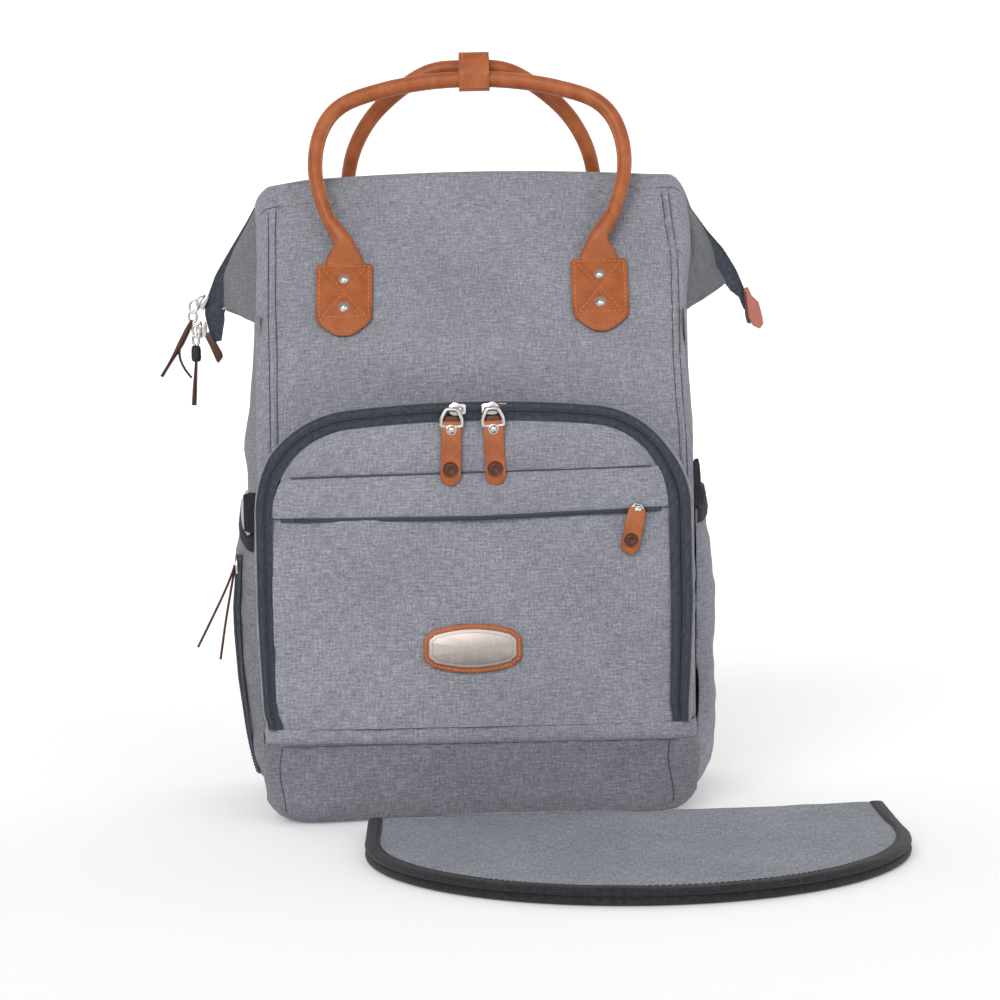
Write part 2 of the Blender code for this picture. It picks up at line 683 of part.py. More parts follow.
def handle_wrap():
    """The wrap that holds both handles together: a loop round the back one, with a tongue
    under the front one, and a flap that closes over the front one."""
    back_y, back_z = RIDGE_Y - BACK_HANDLE_TOP[0], BACK_HANDLE_TOP[1]
    front_y, front_z = RIDGE_Y + FRONT_HANDLE_TOP[0], FRONT_HANDLE_TOP[1]
    inner, wall = HANDLE_R + 2 * GAP, 0.0014

    def prism(outline):
        return slab(outline, lambda u, v: (WRAP_X[0], u, v), lambda u, v: (WRAP_X[1], u, v))

    turns = [math.radians(a) for a in range(-150, 151, 30)]
    loop = [(back_y + (inner + wall) * math.cos(a), back_z + (inner + wall) * math.sin(a)) for a in turns]
    hole = [(back_y + inner * math.cos(a), back_z + inner * math.sin(a)) for a in reversed(turns)]
    tongue_z = front_z - HANDLE_R - GAP
    end_y = front_y - HANDLE_R - 0.0002
    loop = loop[1:]
    outline = [(end_y, tongue_z - wall), (loop[0][0], tongue_z - wall)] + loop + hole
    outline += [(hole[-1][0], tongue_z), (end_y, tongue_z)]
    node("wrap_band", prism(outline), leather)
    over_z = back_z + inner + wall + GAP
    lip_y = front_y - HANDLE_R - GAP
    hinge_y = back_y + 0.0020
    flap = [
        (hinge_y, over_z), (hinge_y, over_z + wall), (lip_y, over_z + wall),
        (lip_y - wall, over_z), (lip_y - wall, tongue_z - wall), (lip_y, tongue_z - wall),
        (lip_y, over_z - 0.0008), (lip_y + 0.0008, over_z),
    ]
    node("wrap_flap", prism(flap), leather)


# Back


def strap(name, side):
    """A padded shoulder strap hanging on the back, with its webbing and its ladder lock."""
    top_z = 0.2900
    axis = empty(f"strap_{name}_axis", (side * 0.0480, Y_BACK + 0.0042, top_z))
    thick, half = 0.0085, 0.0300
    rows = []
    for z, x, out, narrow in (
        (0.000, 0.000, 0.0045, 0.92), (-0.030, 0.003, 0.0100, 0.97), (-0.070, 0.008, 0.0130, 1.0),
        (-0.110, 0.014, 0.0135, 1.0), (-0.150, 0.021, 0.0125, 0.97), (-0.185, 0.028, 0.0105, 0.84),
        (-0.200, 0.031, 0.0095, 0.52),
    ):
        rows.append([(side * (x + half * narrow * t), out, z) for t in (-1, -0.55, 0, 0.55, 1)])
    node(f"shoulder_strap_{name}", sheet(rows, thick, (0.0, -0.2, -0.1)), fabric, axis)
    lock = rounded_rect(-0.0170, 0.0170, -0.0130, 0.0130, 0.0030, 2)
    lock_place = empty(f"ladder_lock_{name}_place", (side * 0.0325, 0.0045, -0.2140), parent=axis)
    body = node(f"ladder_lock_{name}", panel_slab(lock, 0.0018, 0.0036), black_trim, lock_place)
    for count, h in enumerate((-0.0065, 0.0065)):
        slot = rounded_rect(-0.0133, 0.0133, -0.0024, 0.0024, 0.0005, 1)
        cut(body, helper(f"lock_slot_{name}_{count}", panel_slab(slot, 0.005, 0.010),
                         lock_place, (0.0, 0.0, h)))
    rows = []
    for z, x, y in ((-0.2280, 0.0330, 0.0060), (-0.2400, 0.0370, 0.0050), (-0.2620, 0.0450, 0.0012)):
        rows.append([(side * x + t * 0.0125, y, z) for t in (-1, 1)])
    node(f"strap_webbing_{name}", sheet(rows, 0.0015, (0.0, -0.2, -0.2)), black_trim, axis)


# Changing mat


def mat_outline(margin=0.0):
    half = MAT_HALF - margin
    right = [(half, -0.0006)] + arc((0.0, -MAT_SIDE), half, 0, -90, 9)
    return right + [(-x, y) for x, y in reversed(right[:-1])]


def changing_mat():
    """Two leaves of a padded mat, folded flat on the floor in front of the bag."""
    place = empty("mat_place", MAT_PLACE, (0.0, 0.0, MAT_YAW))
    node("mat_leaf_lower", floor_slab(mat_outline(), 0.0, MAT_LEAF), fabric, place)
    fold = empty("mat_fold_axis", (0.0, 0.0, MAT_LEAF + GAP / 2), parent=place)
    node("mat_leaf_upper", floor_slab(mat_outline(), GAP / 2, GAP / 2 + MAT_LEAF), fabric, fold)


def build():
    clear_scene()
    base()
    upright_wall("front_wall", Y_FRONT, FABRIC)
    upright_wall("back_wall", Y_BACK, BACK_PAD)
    for name, side, tail in (("left", -1, 2.0), ("right", 1, 1.4)):
        side_panel(f"side_panel_{name}", side)
        ear(f"ear_{name}", side)
        ear_zip(f"ear_zip_{name}", side, tail)
        side_pocket(f"side_pocket_{name}", side)
        strap(name, side)
    zip_end_tab()
    side_zip()
    side_slider()
    pocket_gusset()
    base_band()
    face = empty("flap_axis", on_face(0.0, 0.0), (-math.atan(FACE_SLOPE), 0.0, 0.0))
    arch_strip("pocket_zip_outer", 0.0, face)
    pocket_flap(face)
    badge(face)
    arch_sliders(face)
    welt_slider(face)
    main_sliders()
    front_keys = [(0.0840, 0.0), (0.0945, 0.150), (0.1030, 0.430), (0.0995, 0.680), (0.0860, 0.845),
                  (0.0600, 0.935), (0.0300, 0.985), (0.0, 1.0)]
    back_keys = [(0.0830, 0.0), (0.0855, 0.180), (0.0845, 0.400), (0.0780, 0.590), (0.0640, 0.765),
                 (0.0420, 0.915), (0.0230, 0.990), (0.0, 1.0)]
    mouth_half("front", Y_FRONT, 0.0, FRONT_HANDLE_TOP, front_keys)
    mouth_half("back", Y_BACK, math.pi, BACK_HANDLE_TOP, back_keys)
    handle_wrap()
    changing_mat()


build()
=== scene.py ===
"""The looks of the wide-mouth diaper backpack and its folded changing mat.

Metres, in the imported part's frame: X runs across the bag, the front faces -Y, +Z is up. Fabric
pieces are grids of points on their outer face, thickened inwards. Every piece has a UV map named
"cloth", in metres, so that weave and grain keep their real size.
"""

from math import atan2, copysign, cos, degrees, dist, exp, pi, radians, sin, sqrt

import bmesh
import bpy
import numpy as np
from mathutils import Matrix, Vector, noise


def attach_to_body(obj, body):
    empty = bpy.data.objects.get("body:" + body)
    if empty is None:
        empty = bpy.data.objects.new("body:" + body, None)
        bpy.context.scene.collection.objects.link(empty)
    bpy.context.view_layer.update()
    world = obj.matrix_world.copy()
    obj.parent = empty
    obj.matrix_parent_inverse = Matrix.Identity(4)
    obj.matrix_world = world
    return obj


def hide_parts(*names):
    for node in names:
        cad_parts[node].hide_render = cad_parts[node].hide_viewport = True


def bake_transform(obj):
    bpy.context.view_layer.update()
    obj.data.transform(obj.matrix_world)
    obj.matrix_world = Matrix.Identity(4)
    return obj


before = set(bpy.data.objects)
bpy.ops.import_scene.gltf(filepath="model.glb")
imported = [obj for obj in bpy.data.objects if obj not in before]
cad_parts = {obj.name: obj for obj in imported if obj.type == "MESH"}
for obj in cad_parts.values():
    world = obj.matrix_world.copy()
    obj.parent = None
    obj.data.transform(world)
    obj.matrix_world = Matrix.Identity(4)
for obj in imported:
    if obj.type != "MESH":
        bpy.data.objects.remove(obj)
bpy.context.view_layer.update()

# The part's own dimensions
RIDGE_Y = 0.020  # the closed mouth's ridge
HALF_W = 0.1415  # main body, half of its width
HINGE = Vector((0.0, -0.056, 0.302))  # fold between the upright front wall and its mouth panel
MOUTH_UP = Vector((0.0, 0.5145, 0.8575))  # up the front mouth panel
MOUTH_OUT = Vector((0.0, -0.8575, 0.5145))  # square to it
MOUTH_LONG = 0.1341
FLAP = Vector((0.0, -0.100, 0.0605))  # the fold at the foot of the pocket's face
FACE_UP = Vector((0.0, 0.0466, 0.9989))  # up the pocket's face
FACE_OUT = Vector((0.0, -0.9989, 0.0466))  # square to it
POCKET_HALF = 0.1375  # front pocket, half of its width
# outer edge of the arch zip: its height above the flap's fold, its corners' radius, its top's radius
ARCH_TOP, ARCH_R, ARCH_TOP_R = 0.2060, 0.066, 0.800
TAPE_W = 0.0057  # each half of the arch zip
WELT = (0.1345, 0.1600)  # foot and top of the folded band over the welt zip, above the flap's fold
TAB_X = 0.0840  # the leather tabs, away from the bag's middle
BODY_CLOTH, POCKET_CLOTH, EAR_CLOTH = 0.0016, 0.0014, 0.0012  # thicknesses
BASE_SEAMS = ((-1, 0.1258), (1, 0.1209))  # the base band's upright seams: side, distance from the middle
CAMERA_PLACE, CAMERA_LENS, CAMERA_SENSOR = (0.0155, -1.70, 0.285), 90.9, 36.0
CAMERA_PITCH, CAMERA_ROLL = radians(2.9), radians(1.2)
LIGHTS = (  # name, the direction it comes from, its angle across, its strength
    ("key", (-0.8, -2.4, 1.2), 32.0, 1.50),
    ("fill", (1.6, -2.5, 0.9), 45.0, 0.62),
    ("top", (0.2, -0.2, 3.0), 50.0, 0.08),
    ("back", (-0.4, 2.6, 1.6), 50.0, 0.35),
)

# Homes: a body's name, or two bodies and two points on the fold between them; a piece with such a home stays
# where it is built
FRONT_FOLD = ("root", "mouth_front", (0.0, -0.056, 0.288), (0.0, -0.056, 0.318))
BACK_FOLD = ("root", "mouth_back", (0.0, 0.096, 0.288), (0.0, 0.096, 0.318))


def mirrored(point):
    """The same place on the back half of the mouth."""
    return Vector((point[0], 2 * RIDGE_Y - point[1], point[2]))


def flipped(way):
    """The same direction on the back half of the mouth."""
    return Vector((way[0], -way[1], way[2]))


EAR_NEAR, EAR_FAR = HINGE - MOUTH_OUT * 0.004, HINGE - MOUTH_OUT * 0.052
FLAP_FOLD = ("root", "pocket_flap", (0.0, -0.100, 0.0510), (0.0, -0.100, 0.0606))
FRONT_EAR = ("root", "mouth_front", EAR_FAR, EAR_NEAR)
BACK_EAR = ("root", "mouth_back", mirrored(EAR_FAR), mirrored(EAR_NEAR))


def side_name(side):
    return "left" if side < 0 else "right"


# Materials


def add(tree, kind, inputs=None, **settings):
    made = tree.nodes.new(kind)
    for key, value in settings.items():
        setattr(made, key, value)
    for key, value in (inputs or {}).items():
        if isinstance(value, bpy.types.NodeSocket):
            tree.links.new(value, made.inputs[key])
        else:
            made.inputs[key].default_value = value
    return made


def calc(tree, operation, a, b=0.0):
    return add(tree, "ShaderNodeMath", {0: a, 1: b}, operation=operation).outputs[0]


def new_look(name, roughness, metallic=0.0, **fixed):
    look = bpy.data.materials.new(name)
    look.use_nodes = True
    tree = look.node_tree
    shader = tree.nodes["Principled BSDF"]
    shader.inputs["Roughness"].default_value = roughness
    shader.inputs["Metallic"].default_value = metallic
    for key, value in fixed.items():
        shader.inputs[key.replace("_", " ")].default_value = value
    return look, tree, shader


def places(tree, on_cad):
    """Texture coordinates in metres: the cloth map, or a CAD node's own place."""
    if on_cad:
        return add(tree, "ShaderNodeTexCoord").outputs["Object"]
    return add(tree, "ShaderNodeUVMap", uv_map="cloth").outputs[0]


def speckle(tree, where, scale, detail=2.0, rough=0.5):
    """Noise, stretched where the three scales differ."""
    placed = add(tree, "ShaderNodeVectorMath", {0: where, 1: scale}, operation="MULTIPLY").outputs[0]
    inputs = {"Vector": placed, "Scale": 1.0, "Detail": detail, "Roughness": rough}
    return add(tree, "ShaderNodeTexNoise", inputs).outputs[0]


def ramp(tree, factor, stops):
    made = add(tree, "ShaderNodeValToRGB", {0: factor})
    for element in list(made.color_ramp.elements)[2:]:
        made.color_ramp.elements.remove(element)
    while len(made.color_ramp.elements) < len(stops):
        made.color_ramp.elements.new(0.5)
    for element, (place, colour) in zip(made.color_ramp.elements, stops):
        element.position = place
        element.color = (*colour, 1.0)
    return made.outputs[0]


def bump(tree, shader, height, strength, distance):
    inputs = {"Height": height, "Strength": strength, "Distance": distance}
    made = add(tree, "ShaderNodeBump", inputs)
    tree.links.new(made.outputs[0], shader.inputs["Normal"])


def woven(name, dark, middle, light, pitch=0.00115, streak=1.0, roughness=0.93, on_cad=False):
    """Melange cloth: plain weave whose threads change shade along their length."""
    look, tree, shader = new_look(name, roughness, Sheen_Weight=0.12, Sheen_Roughness=0.45,
                                  Specular_IOR_Level=0.25)
    where = places(tree, on_cad)
    weft = speckle(tree, where, (120.0, 850.0, 850.0), 3.0, 0.6)
    warp = speckle(tree, where, (850.0, 120.0, 850.0), 3.0, 0.6)
    grain = speckle(tree, where, (650.0, 650.0, 650.0), 2.0, 0.6)
    cloudy = speckle(tree, where, (16.0, 16.0, 16.0), 2.0)
    mixed = calc(tree, "ADD", calc(tree, "MULTIPLY", weft, 0.34), calc(tree, "MULTIPLY", warp, 0.26))
    mixed = calc(tree, "ADD", mixed, calc(tree, "MULTIPLY", grain, 0.30))
    mixed = calc(tree, "ADD", mixed, calc(tree, "MULTIPLY", cloudy, 0.10))
    mixed = calc(tree, "MULTIPLY", calc(tree, "SUBTRACT", mixed, 0.5), streak)
    colour = ramp(tree, calc(tree, "ADD", mixed, 0.5), [(0.36, dark), (0.5, middle), (0.64, light)])
    tree.links.new(colour, shader.inputs["Base Color"])
    split = add(tree, "ShaderNodeSeparateXYZ", {0: where})
    turns = 2 * pi / pitch
    across = calc(tree, "SINE", calc(tree, "MULTIPLY", split.outputs[0], turns))
    along = calc(tree, "SINE", calc(tree, "MULTIPLY", split.outputs[1], turns))
    height = calc(tree, "ADD", calc(tree, "MULTIPLY", across, along), calc(tree, "MULTIPLY", grain, 1.4))
    bump(tree, shader, height, 0.55, 0.00022)
    return look


def hide(name, colour, deep, roughness=0.42):
    """Grained leather with a soft mottling."""
    look, tree, shader = new_look(name, roughness, Specular_IOR_Level=0.32, Coat_Weight=0.06,
                                  Coat_Roughness=0.35)
    where = places(tree, False)
    mottle = speckle(tree, where, (60.0, 60.0, 60.0), 4.0, 0.6)
    pores = add(tree, "ShaderNodeTexVoronoi", {"Vector": where, "Scale": 950.0}).outputs["Distance"]
    fine = speckle(tree, where, (1500.0, 1500.0, 1500.0), 2.0)
    colour = ramp(tree, mottle, [(0.30, deep), (0.62, colour)])
    tree.links.new(colour, shader.inputs["Base Color"])
    dull = calc(tree, "ADD", calc(tree, "MULTIPLY", mottle, 0.25), roughness - 0.12)
    tree.links.new(dull, shader.inputs["Roughness"])
    height = calc(tree, "ADD", calc(tree, "MULTIPLY", pores, 0.9), calc(tree, "MULTIPLY", fine, 0.5))
    bump(tree, shader, height, 0.40, 0.00016)
    return look


def ribbed(name, dark, light, pitch=0.0009, roughness=0.8, slant=1.0, on_cad=False):
    """Zip tape, elastic and webbing: fine diagonal or cross ribs."""
    look, tree, shader = new_look(name, roughness, Specular_IOR_Level=0.3, Sheen_Weight=0.08)
    where = places(tree, on_cad)
    split = add(tree, "ShaderNodeSeparateXYZ", {0: where})
    line = calc(tree, "ADD", split.outputs[0], calc(tree, "MULTIPLY", split.outputs[1], slant))
    rib = calc(tree, "SINE", calc(tree, "MULTIPLY", line, 2 * pi / pitch))
    worn = speckle(tree, where, (300.0, 300.0, 300.0), 3.0, 0.6)
    shade = calc(tree, "ADD", calc(tree, "MULTIPLY", rib, 0.10), worn)
    colour = ramp(tree, shade, [(0.35, dark), (0.70, light)])
    tree.links.new(colour, shader.inputs["Base Color"])
    height = calc(tree, "ADD", rib, calc(tree, "MULTIPLY", worn, 0.8))
    bump(tree, shader, height, 0.5, 0.00018)
    return look


def metal(name, colour, roughness, stretch=(500.0, 500.0, 500.0), on_cad=False, depth=0.00003):
    look, tree, shader = new_look(name, roughness, 1.0)
    where = places(tree, on_cad)
    wear = speckle(tree, where, stretch, 3.0, 0.6)
    tint = ramp(tree, wear, [(0.30, tuple(c * 0.82 for c in colour)), (0.70, colour)])
    tree.links.new(tint, shader.inputs["Base Color"])
    dull = calc(tree, "ADD", calc(tree, "MULTIPLY", wear, 0.22), roughness - 0.11)
    tree.links.new(dull, shader.inputs["Roughness"])
    bump(tree, shader, wear, 0.35, depth)
    return look


def moulded(name, colour, roughness, on_cad=True):
    look, tree, shader = new_look(name, roughness, Specular_IOR_Level=0.45)
    where = places(tree, on_cad)
    fine = speckle(tree, where, (1800.0, 1800.0, 1800.0), 2.0)
    broad = speckle(tree, where, (40.0, 40.0, 40.0), 3.0)
    tint = ramp(tree, broad, [(0.3, tuple(c * 0.8 for c in colour)), (0.7, colour)])
    tree.links.new(tint, shader.inputs["Base Color"])
    bump(tree, shader, fine, 0.3, 0.00006)
    return look


GREY = woven("heather_grey", (0.118, 0.121, 0.143), (0.250, 0.253, 0.288), (0.446, 0.449, 0.494),
             streak=0.86)
# The base band: the same heather painted darker, as painted shade on the band low down by the floor.
BAND_SHADED_GREY = woven("band_heather_shaded", (0.080, 0.082, 0.098), (0.170, 0.172, 0.198), (0.312, 0.314, 0.350),
                  streak=0.86)
# The left side's gusset and pocket: the same heather painted darker, as painted shade.
SIDE_SHADED_GREY = woven("side_heather_shaded", (0.094, 0.096, 0.112), (0.200, 0.201, 0.224), (0.360, 0.361, 0.392),
                  streak=0.8)
# The ears: the same heather painted darker as painted shade, the right ear darker than the left.
EAR_SHADED_GREY = {
    -1: woven("ear_heather_shaded_left", (0.086, 0.086, 0.096), (0.178, 0.178, 0.192), (0.310, 0.310, 0.330),
              streak=0.75),
    1: woven("ear_heather_shaded_right", (0.074, 0.074, 0.086), (0.150, 0.150, 0.166), (0.260, 0.260, 0.284),
             streak=0.75),
}
MAT_GREY = woven("mat_heather", (0.116, 0.122, 0.152), (0.242, 0.253, 0.294), (0.410, 0.424, 0.474),
                 streak=1.25)
LINING = woven("lining_cloth", (0.42, 0.43, 0.45), (0.50, 0.51, 0.53), (0.58, 0.59, 0.61), streak=0.5)
PAD_MESH = woven("pad_mesh", (0.020, 0.021, 0.024), (0.036, 0.037, 0.041), (0.062, 0.063, 0.068),
                 pitch=0.0026)
NAVY = ribbed("navy_tape", (0.032, 0.038, 0.052), (0.068, 0.078, 0.102))
TEETH = moulded("navy_teeth", (0.030, 0.040, 0.054), 0.45, on_cad=False)
BLACK = ribbed("black_trim", (0.010, 0.010, 0.012), (0.030, 0.031, 0.035), pitch=0.0011, slant=0.0)
TAN = hide("tan_leather", (0.405, 0.114, 0.031), (0.265, 0.062, 0.017))
DEEP = hide("dark_leather", (0.105, 0.028, 0.010), (0.060, 0.016, 0.006))
MAROON = hide("pull_edge_leather", (0.095, 0.030, 0.022), (0.055, 0.017, 0.013))
ROSE = hide("zip_end_leather", (0.420, 0.150, 0.100), (0.300, 0.100, 0.068))
# Thin dark cords painted as the shadow in seams, folds and along zip edges.
SEAM_SHADOW = moulded("seam_shadow", (0.066, 0.068, 0.080), 0.85, on_cad=False)
THREAD_TAN = moulded("tan_thread", (0.62, 0.24, 0.085), 0.7, on_cad=False)
THREAD_GREY = moulded("grey_thread", (0.115, 0.122, 0.148), 0.8, on_cad=False)
THREAD_BLACK = moulded("black_thread", (0.030, 0.030, 0.034), 0.7, on_cad=False)
NICKEL = metal("nickel", (0.66, 0.63, 0.60), 0.24, (90.0, 90.0, 90.0), depth=0.000004)
BADGE = metal("brushed_badge", (0.45, 0.40, 0.37), 0.40, (1400.0, 60.0, 60.0), depth=0.00005)
PLASTIC_UV = moulded("black_bead", (0.022, 0.022, 0.025), 0.35, on_cad=False)
PLASTIC = moulded("black_buckle", (0.022, 0.022, 0.025), 0.42)
BOARD = moulded("stiffener_board", (0.055, 0.055, 0.060), 0.6)


# Making pieces


def attach(obj, home, stands_for=()):
    if isinstance(home, str):
        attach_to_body(obj, home)
    else:
        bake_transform(obj)
    if stands_for:
        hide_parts(*stands_for)
    return obj


def piece(name, points, faces, maps, looks, home, stands_for=(), indices=None, sharp=48):
    """A mesh object. `maps` holds each face's corners in the cloth map, in metres."""
    mesh = bpy.data.meshes.new(name)
    mesh.from_pydata([tuple(p) for p in points], [], [tuple(f) for f in faces])
    for look in looks:
        mesh.materials.append(look)
    if indices is not None:
        mesh.polygons.foreach_set("material_index", indices)
    mesh.polygons.foreach_set("use_smooth", [True] * len(mesh.polygons))
    mesh.set_sharp_from_angle(angle=radians(sharp))
    layer = mesh.uv_layers.new(name="cloth")
    layer.data.foreach_set("uv", np.array([c for m in maps for c in m], float)[:, :2].ravel())
    obj = bpy.data.objects.new(name, mesh)
    bpy.context.scene.collection.objects.link(obj)
    return attach(obj, home, stands_for)


def normals_of(grid, outward):
    """Unit normals of a grid, all on the side that mostly faces away from `outward`'s point."""
    across, up = np.gradient(grid, axis=1), np.gradient(grid, axis=0)
    normal = np.cross(across, up)
    normal /= np.maximum(np.linalg.norm(normal, axis=2, keepdims=True), 1e-12)
    if ((grid - np.array(outward)) * normal).sum() < 0:
        normal = -normal
    return normal


def hill(away, wide):
    """1 at no distance, falling off smoothly over `wide`."""
    return np.exp(-(away / wide) ** 2)


def unit(value):
    return np.clip(value, 0, 1)


def pushed(grid, behind, field):
    return grid + normals_of(grid, behind) * field[..., None]


def rumple(grid, size, amount, seed=0.0, octaves=3):
    """A smooth random field over a grid, for slack and creases."""
    flat = grid.reshape(-1, 3) / size + seed
    values = [noise.fractal(Vector(p), 0.9, 2.0, octaves) for p in flat]
    return np.array(values).reshape(grid.shape[:2]) * amount


def grid_map(grid):
    """Cloth map of a grid: distance from the middle column, and distance up the middle column."""
    high, wide = grid.shape[:2]
    middle = wide // 2
    step = np.linalg.norm(np.diff(grid, axis=1), axis=2)
    u = np.concatenate([np.zeros((high, 1)), np.cumsum(step, axis=1)], axis=1)
    u -= u[:, middle:middle + 1]
    rise = np.linalg.norm(np.diff(grid[:, middle], axis=0), axis=1)
    v = np.concatenate([[0.0], np.cumsum(rise)])
    return np.stack([u, np.repeat(v[:, None], wide, axis=1)], axis=2)


def sheet_faces(outer, facing):
    """Faces of a thick sheet: the outer grid's, the inner grid's and the walls round the rim.
    `facing` has the outer side's direction at each point."""
    high, wide = outer.shape[:2]
    count = high * wide
    index = np.arange(count).reshape(high, wide)
    quads = np.stack([index[:-1, :-1], index[:-1, 1:], index[1:, 1:], index[1:, :-1]], axis=2).reshape(-1, 4)
    middle = quads[len(quads) // 2]
    a, b, c = outer.reshape(-1, 3)[middle[:3]]
    if np.dot(np.cross(b - a, c - a), facing.reshape(-1, 3)[middle[0]]) < 0:
        quads = quads[:, ::-1]
    rim = np.concatenate([index[0, :], index[1:, -1], index[-1, -2::-1], index[-2:0:-1, 0]])
    following = np.roll(rim, -1)
    walls = np.stack([rim, following, following + count, rim + count], axis=1)
    first = quads[(quads == rim[0]).any(axis=1)][0].tolist()
    if first[(first.index(rim[0]) + 1) % 4] == rim[1]:
        walls = walls[:, ::-1]
    return np.concatenate([quads, quads[:, ::-1] + count, walls]), len(quads)


def shell(name, grid, looks, thick, behind, home, stands_for=(), cloth=None, sharp=48):
    """Cloth or leather: a grid of points on its outer face, thickened away from the outside."""
    grid = np.asarray(grid, float)
    normal = normals_of(grid, behind)
    inner = grid - normal * thick
    faces, quads = sheet_faces(grid, normal)
    indices = [0] * quads + [len(looks) - 1] * quads + [0] * (len(faces) - 2 * quads)
    maps = (grid_map(grid) if cloth is None else np.asarray(cloth, float)).reshape(-1, 2)
    both = np.concatenate([maps, maps + 0.0007])
    points = np.concatenate([grid.reshape(-1, 3), inner.reshape(-1, 3)])
    return piece(name, points, faces, both[faces], looks, home, stands_for, indices, sharp)


def frames_along(path, up=None):
    """Tangents and two side directions along a path, kept from twisting."""
    path = np.asarray(path, float)
    tangent = np.gradient(path, axis=0)
    tangent /= np.maximum(np.linalg.norm(tangent, axis=1, keepdims=True), 1e-12)
    side = np.zeros_like(path)
    start = np.array(up if up is not None else (0.0, 0.0, 1.0), float)
    if abs(np.dot(start, tangent[0])) > 0.95:
        start = np.array((1.0, 0.0, 0.0))
    last = start - tangent[0] * np.dot(start, tangent[0])
    last /= np.linalg.norm(last)
    for i, direction in enumerate(tangent):
        last = last - direction * np.dot(last, direction)
        last /= np.linalg.norm(last)
        side[i] = last
    return path, tangent, side, np.cross(tangent, side)


def tube_faces(rows, around, closed=False):
    """Faces between rings of points, with both ends shut unless the tube is closed on itself."""
    faces = []
    for i in range(rows if closed else rows - 1):
        low, high = i * around, (i + 1) % rows * around
        faces += [(low + j, low + (j + 1) % around, high + (j + 1) % around, high + j)
                  for j in range(around)]
    if not closed:
        last = (rows - 1) * around
        faces += [tuple(range(around))[::-1], tuple(range(last, last + around))]
    return faces


def tube_maps(girth, run, closed=False):
    """Cloth map of a tube's sides: the distance round it and along it."""
    tops = [*run[1:], run[-1] + run[1]] if closed else run[1:]
    return [((girth[j], low), (girth[j + 1], low), (girth[j + 1], high), (girth[j], high))
            for low, high in zip(run, tops) for j in range(len(girth) - 1)]


def loft(name, path, rings, looks, home, stands_for=(), up=None, closed=False, sharp=48):
    """A closed form along a path. Each ring is a list of (side, other side) offsets in metres."""
    path, _, side, other = frames_along(path, up)
    rings = [np.asarray(ring, float) for ring in rings]
    if len(rings) == 1:
        rings = rings * len(path)
    around, count = len(rings[0]), len(path)
    points = np.array([path[i] + side[i] * a + other[i] * b
                       for i, ring in enumerate(rings) for a, b in ring])
    faces = tube_faces(count, around, closed)
    maps = tube_maps(run_of(np.concatenate([rings[0], rings[0][:1]])), run_of(path), closed)
    if not closed:
        maps += [[tuple(k) for k in rings[0]][::order] for order in (-1, 1)]
    middle = count // 2 * around
    a, b, c = points[middle], points[middle + 1], points[min(middle + around, len(points) - 1)]
    hub = points[middle:middle + around].mean(axis=0)
    if np.dot(np.cross(b - a, c - a), a - hub) < 0:
        faces = [f[::-1] for f in faces]
        maps = [list(m)[::-1] for m in maps]
    return piece(name, points, faces, maps, looks, home, stands_for, sharp=sharp)


def squared(turn, power):
    """A point of a unit circle; a power below 1 squares the circle."""
    return tuple(copysign(abs(v) ** power, v) for v in (cos(turn), sin(turn)))


def oval(half_a, half_b, steps=12, power=1.0):
    """A ring of points."""
    ring = [squared(2 * pi * i / steps, power) for i in range(steps)]
    return [(half_a * a, half_b * b) for a, b in ring]


def smooth(keys, count):
    """A Catmull-Rom curve through key points, resampled evenly."""
    keys = np.asarray(keys, float)
    ends = np.concatenate([[2 * keys[0] - keys[1]], keys, [2 * keys[-1] - keys[-2]]])
    path = []
    for a, b, c, d in zip(ends, ends[1:], ends[2:], ends[3:]):
        for t in np.arange(16) / 16.0:
            path.append(0.5 * (2 * b + (c - a) * t + (2 * a - 5 * b + 4 * c - d) * t**2
                               + (3 * b - a - 3 * c + d) * t**3))
    path.append(keys[-1])
    return resample(np.array(path), count)


def run_of(path):
    """The distance travelled at each point of a path."""
    return np.concatenate([[0.0], np.cumsum(np.linalg.norm(np.diff(np.asarray(path, float), axis=0),
                                                           axis=1))])


def resample(path, count):
    path, run = np.asarray(path, float), run_of(path)
    marks = np.linspace(0.0, run[-1], count)
    return np.stack([np.interp(marks, run, path[:, k]) for k in range(path.shape[1])], axis=1)


def length_of(path):
    return float(run_of(path)[-1])


def seed_pieces(name, spots, shape, faces, looks, home, slot=None, stands_for=(), sharp=48):
    """Many small copies in one mesh. Each spot is (place, along, up); `shape` is in those axes."""
    shape = np.asarray(shape, float)
    points, all_faces, maps = [], [], []
    for place, along, up in spots:
        along = np.asarray(along, float) / np.linalg.norm(along)
        up = np.asarray(up, float) - along * np.dot(up, along)
        up /= max(np.linalg.norm(up), 1e-9)
        across = np.cross(up, along)
        base = len(points)
        points += list(np.asarray(place) + shape @ np.array([along, across, up]))
        all_faces += [[base + k for k in f] for f in faces]
        maps += [[(shape[k][0], shape[k][1]) for k in f] for f in faces]
    return piece(name, points, all_faces, maps, looks, home, stands_for, sharp=sharp)


def capsule(length, radius, sides=6):
    """A stitch: a thin rod with tapered ends that dip into the cloth."""
    rows = [(-0.5, 0.35, -0.9), (-0.36, 0.95, 0.0), (0.36, 0.95, 0.0), (0.5, 0.35, -0.9)]
    points = [(along * length, cos(turn) * radius * fat, sin(turn) * radius * fat * 0.8 + dip * radius)
              for along, fat, dip in rows for turn in (2 * pi * i / sides for i in range(sides))]
    return points, tube_faces(len(rows), sides)


def stitches(name, lines, thread, home, pitch=0.0036, long=0.0027, radius=0.00030, slot=None):
    """Stitches along lines of (points, normals)."""
    spots = []
    for points, normals in lines:
        count = max(2, round(length_of(points) / pitch))
        fine = resample(np.concatenate([points, normals], axis=1), 2 * count + 1)
        for i in range(1, 2 * count, 2):
            place, up = fine[i, :3], fine[i, 3:]
            spots.append((place + up / max(np.linalg.norm(up), 1e-9) * radius * 0.5,
                          fine[i + 1, :3] - fine[i - 1, :3], up))
    shape, faces = capsule(long, radius)
    return seed_pieces(name, spots, shape, faces, [thread], home, slot)


